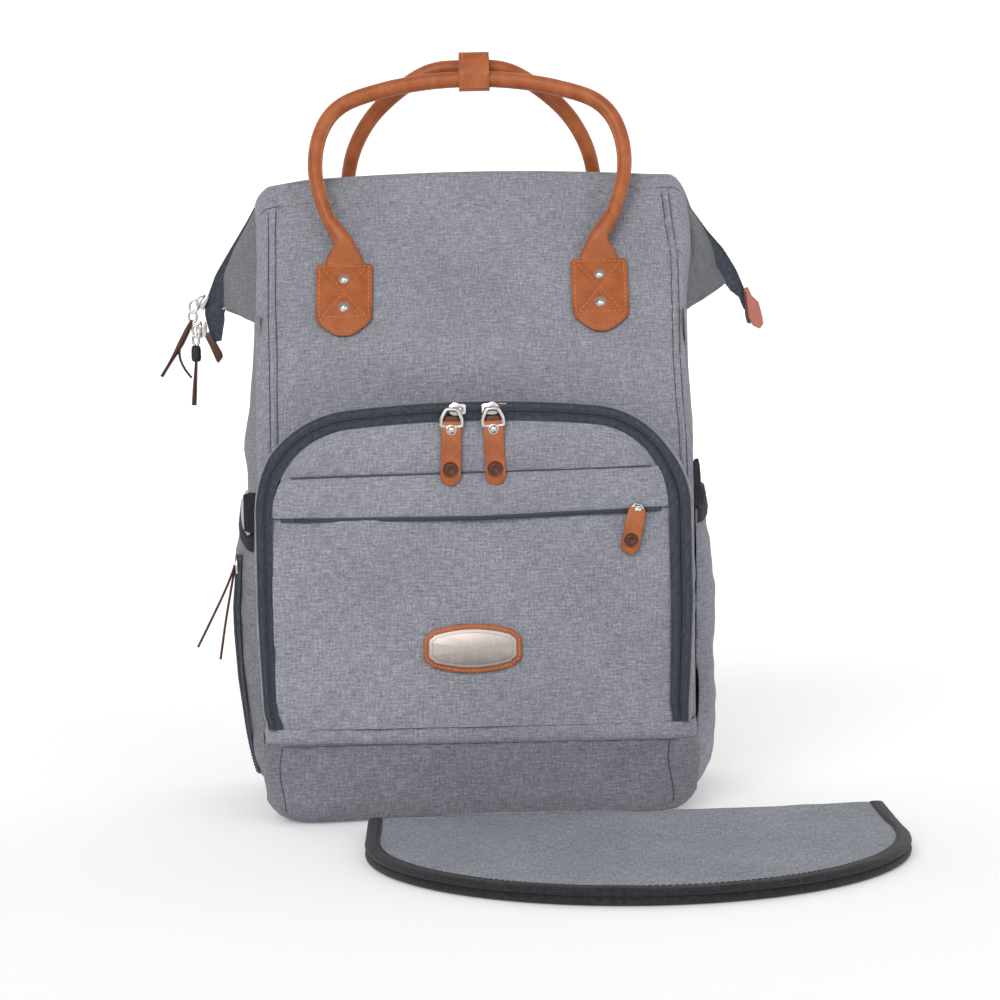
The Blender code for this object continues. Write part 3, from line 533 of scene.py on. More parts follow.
def trace(grid, normal, rows, columns):
    """Points and normals of a grid at fractional rows and columns."""
    high, wide = grid.shape[:2]
    rows, columns = np.clip(rows, 0, high - 1.001), np.clip(columns, 0, wide - 1.001)
    i, j = rows.astype(int), columns.astype(int)
    s, t = (rows - i)[:, None], (columns - j)[:, None]
    found = []
    for values in (grid, normal):
        found.append(values[i, j] * (1 - s) * (1 - t) + values[i + 1, j] * s * (1 - t)
                     + values[i, j + 1] * (1 - s) * t + values[i + 1, j + 1] * s * t)
    return found


def plate(name, outline, thick, place, looks, home, stands_for=(), bevel=0.0005, dome=0.0):
    """A flat piece cut to an outline in `place`'s XZ plane, its face at -Y, with soft edges."""
    bm = bmesh.new()
    front = [bm.verts.new((u, 0.0, v)) for u, v in outline]
    face = bm.faces.new(front)
    made = bmesh.ops.extrude_face_region(bm, geom=[face])
    for vert in [g for g in made["geom"] if isinstance(g, bmesh.types.BMVert)]:
        vert.co.y += thick
    bmesh.ops.recalc_face_normals(bm, faces=bm.faces)
    rims = [e for e in bm.edges if len(e.link_faces) == 2
            and (e.link_faces[0].normal - e.link_faces[1].normal).length > 1.2
            and abs(e.verts[0].co.y - e.verts[1].co.y) < 1e-9]
    bmesh.ops.bevel(bm, geom=rims, offset=bevel, segments=3, profile=0.5, affect="EDGES")
    if dome:
        flats = [f for f in bm.faces if len(f.verts) > 6]
        for flat in flats:
            bmesh.ops.poke(bm, faces=[flat], offset=0.0)
        spread_u = max(abs(u) for u, _ in outline)
        middle_v = sum(v for _, v in outline) / len(outline)
        spread_v = max(abs(v - middle_v) for _, v in outline)
        for vert in bm.verts:
            share = (vert.co.x / spread_u) ** 2 + ((vert.co.z - middle_v) / spread_v) ** 2
            vert.co.y -= dome * max(0.0, 1 - share)
    mesh = bpy.data.meshes.new(name)
    bm.to_mesh(mesh)
    bm.free()
    for look in looks:
        mesh.materials.append(look)
    mesh.polygons.foreach_set("use_smooth", [True] * len(mesh.polygons))
    mesh.set_sharp_from_angle(angle=radians(50))
    layer = mesh.uv_layers.new(name="cloth")
    for loop, data in zip(mesh.loops, layer.data):
        point = mesh.vertices[loop.vertex_index].co
        data.uv = (point.x + point.y, point.z + point.y)
    obj = bpy.data.objects.new(name, mesh)
    bpy.context.scene.collection.objects.link(obj)
    obj.data.transform(place)
    return attach(obj, home, stands_for)


def lathe(name, profile, place, looks, home, steps=28, stands_for=()):
    """A turned piece: (radius, height) pairs round `place`'s own Z."""
    turns = [2 * pi * i / steps for i in range(steps)]
    points = [place @ Vector((r * cos(t), r * sin(t), h)) for r, h in profile for t in turns]
    maps = [[(profile[a][0] + b * 0.0004, profile[a][1])
             for a, b in ((i, j), (i, j + 1), (i + 1, j + 1), (i + 1, j))]
            for i in range(len(profile) - 1) for j in range(steps)]
    maps += [[(0.0004 * k, 0.0) for k in range(steps)][::order] for order in (-1, 1)]
    return piece(name, points, tube_faces(len(profile), steps), maps, looks, home, stands_for)


def moved(offset):
    return Matrix.Translation(offset)


def turned(angle, axis):
    return Matrix.Rotation(angle, 4, axis)


def arc(centre, radius, start, end, steps):
    turns = [radians(start + (end - start) * i / steps) for i in range(steps + 1)]
    return [(centre[0] + radius * cos(a), centre[1] + radius * sin(a)) for a in turns]


def frame_at(origin, x_axis, y_axis, z_axis):
    made = Matrix((x_axis, y_axis, z_axis)).transposed().to_4x4()
    made.translation = origin
    return made


def to_xyz(points):
    return np.array([tuple(p) for p in points], float)


def to_grid(rows):
    return np.array([[tuple(p) for p in row] for row in rows], float)


# Places on the bag


def on_mouth(x, up, out, back=False):
    point = HINGE + Vector((x, 0, 0)) + MOUTH_UP * up + MOUTH_OUT * out
    return mirrored(point) if back else point


def mouth_frame(x, up, out, back=False):
    """A frame whose XZ plane is the mouth panel, Z up it, with -Y outwards."""
    origin = on_mouth(x, up, out, back)
    if back:
        return frame_at(origin, Vector((-1, 0, 0)), -flipped(MOUTH_OUT), flipped(MOUTH_UP))
    return frame_at(origin, Vector((1, 0, 0)), -MOUTH_OUT, MOUTH_UP)


def on_face(x, up, out):
    """A point on the pocket's front, whose side edges both lean a little to the left."""
    shift = np.interp(x, (-0.1375, -0.1261, -0.060, 0.060, 0.1261, 0.1375),
                      (-0.0025, -0.0044, 0.0, 0.0, -0.0025, -0.0007))
    shift *= np.clip(up / 0.010, 0.25, 1.0)
    foot = unit((0.080 - up) / 0.080) ** 1.3
    shift += foot * np.interp(x, (-0.1375, -0.1261, -0.090, 0.090, 0.1261, 0.1375),
                              (0.0034, 0.0012, 0.0, 0.0, -0.0022, -0.0050))
    return FLAP + Vector((x + shift, 0, 0)) + FACE_UP * up + FACE_OUT * out


def face_frame(x, up, out):
    return frame_at(on_face(x, up, out), Vector((1, 0, 0)), -FACE_OUT, FACE_UP)


def arch_line(inset, low, dense=1.0):
    """The arch zip's line in the face plane, from the left leg's foot to the right leg's."""
    corner_r, top_r = ARCH_R - inset, ARCH_TOP_R - inset
    corner_x = POCKET_HALF - ARCH_R
    top_centre = ARCH_TOP - ARCH_TOP_R
    corner_z = top_centre + sqrt((ARCH_TOP_R - ARCH_R) ** 2 - corner_x**2)
    tilt = degrees(atan2(corner_x, corner_z - top_centre))
    legs = [(POCKET_HALF - inset, h) for h in np.linspace(low, corner_z, max(3, int(26 * dense)))]
    right = legs[:-1] + arc((corner_x, corner_z), corner_r, 0, 90 - tilt, int(22 * dense))
    right += arc((0.0, top_centre), top_r, 90 - tilt, 90, int(20 * dense))[1:]
    return np.array([(-x, h) for x, h in right] + right[-2::-1])


def arch_half(inset, h):
    corner_x = POCKET_HALF - ARCH_R
    top_centre = ARCH_TOP - ARCH_TOP_R
    corner_z = top_centre + sqrt((ARCH_TOP_R - ARCH_R) ** 2 - corner_x**2)
    rise = max(0.0, h - corner_z)
    return corner_x + sqrt(max(1e-9, (ARCH_R - inset) ** 2 - rise**2))


RIDGES = {
    -1: [(0.0, 0.1420, 0.4090), (0.25, 0.1516, 0.3916), (0.5, 0.1630, 0.3735), (0.75, 0.1744, 0.3550),
         (1.0, 0.1820, 0.3352), (1.25, 0.1822, 0.3280), (1.5, 0.1808, 0.3215), (2.0, 0.1774, 0.3075)],
    1: [(0.0, 0.1392, 0.4150), (0.12, 0.1452, 0.4050), (0.3, 0.1490, 0.3935), (0.5, 0.1600, 0.3780),
        (0.7, 0.1706, 0.3655), (0.86, 0.1790, 0.3514), (1.0, 0.1836, 0.3400), (1.5, 0.1868, 0.3300),
        (2.0, 0.1900, 0.3200)],
}
TAPE_WIDE = {-1: ((0.0, 0.3, 0.5, 0.7, 0.85, 1.0, 1.5, 2.0),
                  (0.0022, 0.0024, 0.0032, 0.0056, 0.0102, 0.0142, 0.0120, 0.0056)),
             1: ((0.0, 0.45, 0.6, 0.78, 0.9, 1.0, 1.3, 2.0),
                 (0.0016, 0.0020, 0.0050, 0.0115, 0.0110, 0.0090, 0.0050, 0.0040))}


def ear_ridge(side, t, inset=0.0):
    """The ear's outer line in the ridge plane, t from 0 at the top to 1 at the tip and beyond."""
    keys = np.array(RIDGES[side])
    place, near, far = (np.stack([np.interp(v, keys[:, 0], keys[:, k]) for k in (1, 2)])
                        for v in (t, t - 0.08, t + 0.08))
    along = far - near
    return place + np.array((along[1], -along[0])) / np.linalg.norm(along) * inset


def grey_with_left_shade(side):
    """The left side's cloth is painted a little darker than the rest, as painted shade."""
    return SIDE_SHADED_GREY if side < 0 else GREY


def half_width(z):
    return HALF_W - 0.008 * max(0.0, 1 - z / 0.060) ** 2


EDGES = {
    -1: ((0.003, 0.060, 0.250, 0.303, 0.3355, 0.369, 0.403, 0.4165),
         (0.1370, 0.1415, 0.1428, 0.1417, 0.1430, 0.1437, 0.1455, 0.1440)),
    1: ((0.003, 0.060, 0.200, 0.2375, 0.277, 0.310, 0.330, 0.353, 0.370, 0.3865, 0.404, 0.4165),
        (0.1370, 0.1415, 0.1425, 0.1425, 0.1405, 0.1380, 0.1408, 0.1440, 0.1468, 0.1474, 0.1458, 0.1410)),
}


# Body

SEAMS = {
    -1: ((0.200, 0.250, 0.273, 0.302, 0.335, 0.369, 0.404),
         (0.1282, 0.1278, 0.1276, 0.1274, 0.1289, 0.1298, 0.1308)),
    1: ((0.200, 0.248, 0.268, 0.297, 0.330, 0.3635, 0.382, 0.413),
        (0.1340, 0.1328, 0.1312, 0.1298, 0.1310, 0.1321, 0.1301, 0.1278)),
}
SEAM_GAP = {-1: 0.0050, 1: 0.0046}


def seam_x(side, z):
    """The front panel's side seam, which wanders a little."""
    return side * np.interp(z, *SEAMS[side])


def hem_gap(x):
    """How far below the mouth's edge its hem is sewn down."""
    return np.interp(x, (-0.131, 0.003, 0.1276), (0.0112, 0.0189, 0.0049))


def ridge_drop(x):
    """How far the mouth's top edge falls away from its middle."""
    droop = 0.0060 * (x / 0.131) ** 2
    if x < 0:
        return droop + np.interp(-x, (0.110, 0.1341, 0.1415), (0.0, 0.0030, 0.0085))
    return droop + np.interp(x, (0.120, 0.1345, 0.1385, 0.1415), (0.0, -0.0008, 0.0020, 0.0120))


BELLY = [(-0.0500, 0.0030), (-0.0562, 0.0160), (-0.0572, 0.0600), (-0.0585, 0.1400), (-0.0595, 0.2200),
         (-0.0597, 0.2620), (-0.0588, 0.2860), (-0.0556, 0.3030), (-0.0494, 0.3130)]
BELLY += [(-0.056 + 0.6 * (z - 0.302), z) for z in (0.325, 0.345, 0.365, 0.385, 0.400, 0.4165)]


def wall_grid(back, belly, seams):
    """The outer face of a panel that runs from the base up to the zip, its corners turned in."""
    fine = np.linspace(0.118, 0.1415, 22)
    xs = np.concatenate([-fine[::-1], np.linspace(-0.114, 0.114, 52), fine])
    profile = smooth([(0.0, y, z) for y, z in belly], 400)[:, 1:]
    run = run_of(profile)
    total = run[-1]
    shares = np.concatenate([np.linspace(0, 0.90, 92), np.linspace(0.9035, 0.985, 26), [0.992, 1.0]])
    grid = np.zeros((len(shares) + 4, len(xs), 3))
    for j, x in enumerate(xs):
        reach = total - ridge_drop(x)
        marks = shares * reach
        y, z = np.interp(marks, run, profile[:, 0]), np.interp(marks, run, profile[:, 1])
        widths = np.interp(z, *EDGES[-1 if x < 0 else 1]) / HALF_W
        lean = unit((z - 0.30) / 0.01)
        turn = max(0.0, abs(x) - 0.1310)
        depth = 0.0105 - sqrt(max(0.0, 0.0105**2 - turn**2))
        ny = -(1 - lean) - 0.8575 * lean
        nz = 0.5145 * lean
        rows = np.stack([x * widths, y - ny * depth, z - nz * depth], axis=1)
        top = rows[-1]
        over = [(0.0022, 0.0034), (0.0040, 0.0044), (0.0056, 0.0036), (0.0060, -0.0010)]
        hem = [top + np.array((0.0, dy, dz)) for dy, dz in over]
        grid[:, j] = np.concatenate([rows, hem])
    if back:
        grid[..., 1] = 2 * RIDGE_Y - grid[..., 1]
    behind = (0.0, RIDGE_Y, 0.20)
    z = grid[..., 2]
    calm = np.ones_like(z)
    for side in (-1, 1):
        near = np.hypot((grid[..., 0] - side * TAB_X) / 0.032, (z - 0.338) / 0.044)
        calm *= unit(near - 0.6)
    edge = unit((0.4165 - z) / 0.03) * np.clip((0.1400 - abs(grid[..., 0])) / 0.02, 0.15, 1)
    field = rumple(grid, 0.085, 0.0032, 3.1 + back * 7) * calm * edge
    field += rumple(grid * np.array((1.0, 1.0, 0.45)), 0.030, 0.0006, 11.0 + back) * calm * edge
    hem_row = grid[len(shares) - 1, :, 2][None, :] - hem_gap(grid[len(shares) - 1, :, 0])[None, :]
    shares_of_hem = hill(z - hem_row, 0.0013)
    field -= 0.0006 * shares_of_hem
    if seams:
        for side in (-1, 1):
            away = grid[..., 0] - seam_x(side, z)
            low = unit((z - 0.205) / 0.01) * unit((0.4085 - z) / 0.004)
            field -= 0.0012 * hill(away, 0.0008) * low
            field -= 0.0010 * hill(away - side * SEAM_GAP[side], 0.0008) * low
            field += 0.0006 * hill(away - side * 0.0024, 0.0014) * low
            pucker = np.sin(z / 0.0105 * 2 * pi + side) * hill(away, 0.009)
            field += 0.00022 * pucker * low
    return pushed(grid, behind, field), behind, len(shares)


def panel_lines(grid, behind, seams, rows_below_hem):
    """Stitch lines: along the hem and beside the side seams."""
    normal = normals_of(grid, behind)
    wide = grid.shape[1]
    lines = []
    columns = np.arange(4, wide - 4, 1.0)
    z = grid[..., 2]
    ends = [grid[rows_below_hem - 1, int(j)] for j in columns]
    hem = np.array([np.interp(end[2] - hem_gap(end[0]), z[:rows_below_hem, int(j)],
                              np.arange(rows_below_hem)) for j, end in zip(columns, ends)])
    lines.append(trace(grid, normal, hem, columns))
    if seams:
        for side in (-1, 1):
            levels = [i for i in range(rows_below_hem)
                      if 0.208 < z[i, wide // 2] < 0.4035 + 0.004 * (side > 0)]
            for shift in (0.0, SEAM_GAP[side]):
                columns = [np.interp(seam_x(side, z[i, wide // 2]) + side * shift, grid[i, :, 0],
                                     np.arange(wide)) for i in levels]
                lines.append(trace(grid, normal, np.array(levels, float), np.array(columns)))
    return lines


def body_panels():
    grid, behind, top = wall_grid(False, BELLY, True)
    shell("front_panel", grid, [GREY, LINING], BODY_CLOTH, behind, FRONT_FOLD,
          ["front_wall", "mouth_panel_front"])
    lines = panel_lines(grid, behind, True, top)
    stitches("front_panel_stitching", lines[:1], THREAD_GREY, FRONT_FOLD)
    # Dark cords along the side seams: painted shadow in the seams.
    for count, (points, normals) in enumerate(lines[1:]):
        normals /= np.maximum(np.linalg.norm(normals, axis=1, keepdims=True), 1e-9)
        seam_cord(f"front_seam_cord_{count}", points - normals * 0.00005, 0.00036, FRONT_FOLD)
    flat = [(y + 0.0005 if z < 0.3 else y, z) for y, z in BELLY]
    flat = [(-0.0500, 0.0030)] + [(max(y, -0.0562) if z < 0.303 else y, z) for y, z in flat[1:]]
    grid, behind, top = wall_grid(True, flat, False)
    shell("back_panel", grid, [GREY, LINING], BODY_CLOTH, behind, BACK_FOLD,
          ["mouth_panel_back"])
    stitches("back_panel_stitching", panel_lines(grid, behind, False, top), THREAD_GREY, BACK_FOLD)


GUSSET = {
    -1: ((0.0, 0.10, 0.20, 0.236, 0.27, 0.30, 0.317),
         (0.003, 0.007, 0.0140, 0.0160, 0.0112, 0.0080, 0.0066)),
    1: ((0.0, 0.10, 0.20, 0.236, 0.27, 0.30, 0.317), (0.003, 0.005, 0.0066, 0.0062, 0.0036, 0.0008, 0.0002)),
}


def side_gusset(side):
    """The body's side between the front and back panels; its top stands up inside the ear."""
    name = side_name(side)
    ys = np.linspace(-0.0462, 0.0862, 46)
    zs = np.concatenate([np.linspace(0.003, 0.290, 70), [0.296, 0.302, 0.308, 0.314, 0.320, 0.3245]])
    grid = np.zeros((len(zs), len(ys), 3))
    for i, z in enumerate(zs):
        for j, y in enumerate(ys):
            share = (y - RIDGE_Y) / 0.0662
            belly = np.interp(z, *GUSSET[side]) * (1 - abs(share) ** 2.6)
            grid[i, j] = (side * (half_width(z) - 0.0012 + belly), y, z)
    behind = (0.0, RIDGE_Y, 0.16)
    calm = unit((0.295 - grid[..., 2]) / 0.03)
    field = rumple(grid, 0.060, 0.0022, 21.0 + side) * calm
    grid = pushed(grid, behind, field)
    shell(f"side_gusset_{name}", grid, [grey_with_left_shade(side), LINING], BODY_CLOTH, behind, "root",
          [f"side_panel_{name}"])


def ear(side):
    """The gusset's top, folded out to a point: a front and a back leaf that meet at the zip."""
    name = side_name(side)
    rows, columns = 34, 26
    grid = np.zeros((rows + 12, columns, 3))
    cloth = np.zeros((rows + 12, columns, 2))
    foot = 0.0265 if side < 0 else 0.0300
    for i in range(rows):
        s = i / (rows - 1)
        up = 0.1265 + (foot - 0.1265) * s
        edge = np.interp(HINGE.z + MOUTH_UP.z * up, *EDGES[side])
        near = on_mouth(side * (edge - 0.0034), up, -0.0095)
        t = s * 1.10 if side < 0 else min(s, 0.92)
        ridge = ear_ridge(side, t, np.interp(t, *TAPE_WIDE[side]) - 0.0012)
        far = Vector((side * ridge[0], RIDGE_Y - 0.0012, ridge[1]))
        for j in range(columns):
            t = j / (columns - 1)
            point = near.lerp(far, t)
            puff = sin(pi * t) ** 0.8 * sin(pi * min(1.0, s * 0.97 + 0.03)) ** 0.6
            fold = 0.0012 * sin(t * 9.0 + s * 5.0 + side) * s * sin(pi * t)
            outwards = Vector((side * 0.55, -0.80, 0.22))
            gully = 0.0034 * hill(t - 0.26 - 0.30 * (s - 0.45), 0.10) * min(1.0, s * 1.6) * (side > 0)
            grid[i, j] = point + outwards * (0.0044 * puff * (0.35 + 0.65 * s) + fold - gully)
            cloth[i, j] = (side * t * (0.012 + 0.060 * s), (1 - s) * 0.105)
    low = grid[rows - 1].copy()
    for i in range(12):
        w = (i + 1) / 12
        for j in range(columns):
            t = j / (columns - 1)
            home = np.array((side * 0.1384, low[j, 1] + 0.004 * (1 - t), min(low[j, 2] - 0.0030, 0.3215)))
            dip = np.array((0.0, -0.0010 * (1 - t), -0.0012)) * sin(pi * w ** 0.6)
            grid[rows + i, j] = low[j] * (1 - w) + home * w + dip
            cloth[rows + i, j] = cloth[rows - 1, j] + np.array((0.0, -0.035 * w))
    behind = (0.0, RIDGE_Y, 0.33)
    field = rumple(grid, 0.024, 0.0011, 31.0 + 3 * side)
    t = np.linspace(0, 1, columns)[None, :]
    field *= np.sin(pi * unit(t)) ** 0.5
    grid = pushed(grid, behind, field)
    for half, home in (("front", FRONT_EAR), ("back", BACK_EAR)):
        made = grid.copy()
        if half == "back":
            made[..., 1] = 2 * RIDGE_Y - made[..., 1]
        shell(f"ear_{name}_{half}", made, [EAR_SHADED_GREY[side], LINING], EAR_CLOTH, behind, home,
              [f"ear_{name}"], cloth)


def main_zip_path():
    """The main zip's line: up the left ear, along the ridge, down the right ear; with the
    direction in which the tape runs from it, and the tape's visible width."""
    halves = {}
    for side in (-1, 1):
        line = []
        for t in np.linspace(1.95, 0.0, 52):
            edge, inner = ear_ridge(side, t), ear_ridge(side, t, 0.01)
            way = (inner - edge) / 0.01
            wide = np.interp(t, *TAPE_WIDE[side])
            line.append(((side * edge[0], RIDGE_Y, edge[1]), (side * way[0], 0.0, way[1]), wide))
        halves[side] = line
    top = []
    for x in np.linspace(-0.1385, 0.1345, 70):
        top.append(((x, RIDGE_Y, 0.4192 - ridge_drop(x)), (0.0, -0.35, -0.93), 0.0060))
    return halves[-1][:-1] + top + halves[1][::-1][1:-6]


def main_zip():
    line = main_zip_path()
    cover = {"front": ["mouth_zip_front", "ear_zip_left"], "back": ["mouth_zip_back", "ear_zip_right"]}
    for half, home, sign in (("front", FRONT_EAR, -1), ("back", BACK_EAR, 1)):
        grid = np.zeros((len(line), 5, 3))
        for i, (place, way, width) in enumerate(line):
            way = Vector((way[0], -sign * way[1], way[2])).normalized()
            for j in range(5):
                share = j / 4
                out = 0.0008 + 0.0010 * share
                grid[i, j] = Vector(place) + way * (width * share) + Vector((0, sign * out, 0))
        behind = (0.0, RIDGE_Y, 0.36)
        shell(f"main_zip_tape_{half}", grid, [NAVY], 0.0009, behind, home, cover[half])
        points = to_xyz([p for p, _, _ in line])
        ways = to_xyz([d for _, d, _ in line])
        count = int(length_of(points) / 0.0022)
        run = run_of(points)
        marks = np.linspace(0.0, run[-1], count)
        fine = np.stack([np.interp(marks, run, v) for v in (*points.T, *ways.T)], axis=1)
        spots = []
        for i in range(1, count - 1):
            tangent = fine[i + 1, :3] - fine[i - 1, :3]
            up = -fine[i, 3:]
            up[1] = 0.0
            up /= max(np.linalg.norm(up), 1e-9)
            spots.append((fine[i, :3] + np.array((0.0, sign * 0.0006, 0.0)) - up * 0.0009, tangent, up))
        coil(f"main_zip_teeth_{half}", spots, (0.0013, 0.0020, 0.0013), home)


def tooth(long, wide, high):
    """A small coil element: a rounded block."""
    corners = ((-1, -0.6), (-0.6, -1), (0.6, -1), (1, -0.6), (1, 0.6), (0.6, 1), (-0.6, 1), (-1, 0.6))
    points = [(a * share * long / 2, b * share * wide / 2, level * high)
              for share, level in ((1.0, -0.5), (1.0, 0.15), (0.62, 0.5)) for a, b in corners]
    return points, tube_faces(3, len(corners))


def coil(name, spots, size, home):
    """A row of zip teeth."""
    seed_pieces(name, spots, *tooth(*size), [TEETH], home, "zip_tape")


def seam_cord(name, points, radius, home):
    """A dark cord painted as the shadow in a seam or a sharp fold."""
    loft(name, points, [oval(radius, radius, 8)], [SEAM_SHADOW], home)


def wire_casings():
    """The sleeves that hold the spring wire round the inside of each mouth panel."""
    for half, back in (("front", False), ("back", True)):
        top, side_x, bend = MOUTH_LONG - 0.0120, 0.1300, 0.018
        right = [(side_x, h) for h in np.linspace(0.008, top - bend, 24)]
        right += arc((side_x - bend, top - bend), bend, 0, 90, 10)[1:]
        line = right + [(x, top) for x in np.linspace(side_x - bend, 0, 30)[1:]]
        line += [(-x, h) for x, h in line[-2::-1]]
        path = [on_mouth(x, h, -0.0046, back) for x, h in line]
        loft(f"wire_casing_{half}", path, [oval(0.0026, 0.0042, 12)], [LINING], f"mouth_{half}",
             [f"wire_frame_{half}"], up=MOUTH_OUT if not back else None)


# Front pocket


def pocket_walls():
    """The pocket's side and top wall, from the body to the arch zip, with a rolled front edge."""
    line = arch_line(0.0, 0.0, 1.4)
    rows = []
    for x, h in line:
        near = on_face(x, h, -0.0008)
        centre = Vector((0.0, near.y, min(near.z, 0.200)))
        away = (Vector((x, near.y, near.z)) - centre)
        away.y = 0.0
        if near.z < 0.200:
            away = Vector((copysign(1.0, x), 0.0, 0.0))
        away.normalize()
        far = Vector((x, -0.0560, near.z)) + away * 0.0010
        row = [near - away * 0.0012 + FACE_OUT * 0.0002, near + FACE_OUT * 0.0012 + away * 0.0004]
        for s in np.linspace(0.0, 1.0, 12):
            upright = abs(away.x) ** 3
            puff = (0.0050 * upright - 0.0042) * sin(pi * min(1.0, s * 0.9 + 0.08))
            row.append(near.lerp(far, s) + away * (0.0012 * upright + puff))
        rows.append(row)
    grid = to_grid(rows)
    behind = (0.0, -0.075, 0.12)
    share = unit(np.arange(grid.shape[1]) / 5.0)[None, :]
    field = rumple(grid, 0.028, 0.0016, 41.0) * share
    grid = pushed(grid, behind, field)
    shell("pocket_walls", grid, [GREY, LINING], POCKET_CLOTH, behind, "root",
          ["pocket_gusset"])


def arch_zip():
    """Tapes and teeth. The outer half stays on the bag, the inner half opens with the flap."""
    for name, inset, home, node, sign in (
        ("arch_zip_outer_tape", 0.0004, "root", "pocket_zip_outer", 1),
        ("arch_zip_inner_tape", TAPE_W + 0.0006, "pocket_flap", "pocket_zip_inner", -1),
    ):
        grid = []
        for share in np.linspace(0, 1, 9):
            line = arch_line(inset + (TAPE_W - 0.0002) * share, 0.0, 1.6)
            rise = share if sign > 0 else 1 - share
            out = 0.0002 + 0.0011 * sin(rise * pi * 0.62) ** 1.2 - 0.0006 * (rise > 0.86)
            grid.append([on_face(x, h, out) for x, h in line])
        grid = to_grid(grid)
        shell(name, grid, [NAVY], 0.0011, (0.0, 0.0, 0.12), home, [node])
    # The two edge cords are painted shadow along the tape's edges.
    for name, inset, out, size, look, home in (
        ("arch_zip_outer_edge", 0.0002, 0.0006, 0.00050, SEAM_SHADOW, "root"),
        ("arch_zip_inner_edge", 2 * TAPE_W + 0.0003, 0.0006, 0.00045, SEAM_SHADOW, "pocket_flap"),
        ("arch_zip_outer_groove", TAPE_W - 0.0020, 0.0012, 0.00030, TEETH, "root"),
        ("arch_zip_inner_groove", TAPE_W + 0.0024, 0.0012, 0.00030, TEETH, "pocket_flap"),
    ):
        line = to_xyz([on_face(x, h, out) for x, h in arch_line(inset, 0.0, 1.2)])
        loft(name, line, [oval(size, size, 6)], [look], home, up=(0, 1, 0))
    for name, inset, home in (("arch_zip_outer_teeth", TAPE_W - 0.0004, "root"),
                              ("arch_zip_inner_teeth", TAPE_W + 0.0010, "pocket_flap")):
        line = to_xyz([on_face(x, h, 0.0010) for x, h in arch_line(inset, 0.0, 1.6)])
        count = int(length_of(line) / 0.0019)
        fine = resample(line, count)
        shift = 0 if home == "root" else 0.5
        spots = []
        for i in range(1, count - 2):
            place = fine[i] * (1 - shift) + fine[i + 1] * shift
            spots.append((place, fine[i + 1] - fine[i - 1], FACE_OUT))
        shape, faces = tooth(0.0012, 0.0016, 0.0011)
        seed_pieces(name, spots, shape, faces, [TEETH], home, "zip_tape")


def welt_line(x):
    """Height of the dark gap under the folded band."""
    return np.interp(x, (-0.130, 0.0, 0.125), (0.1336, 0.1328, 0.1365))


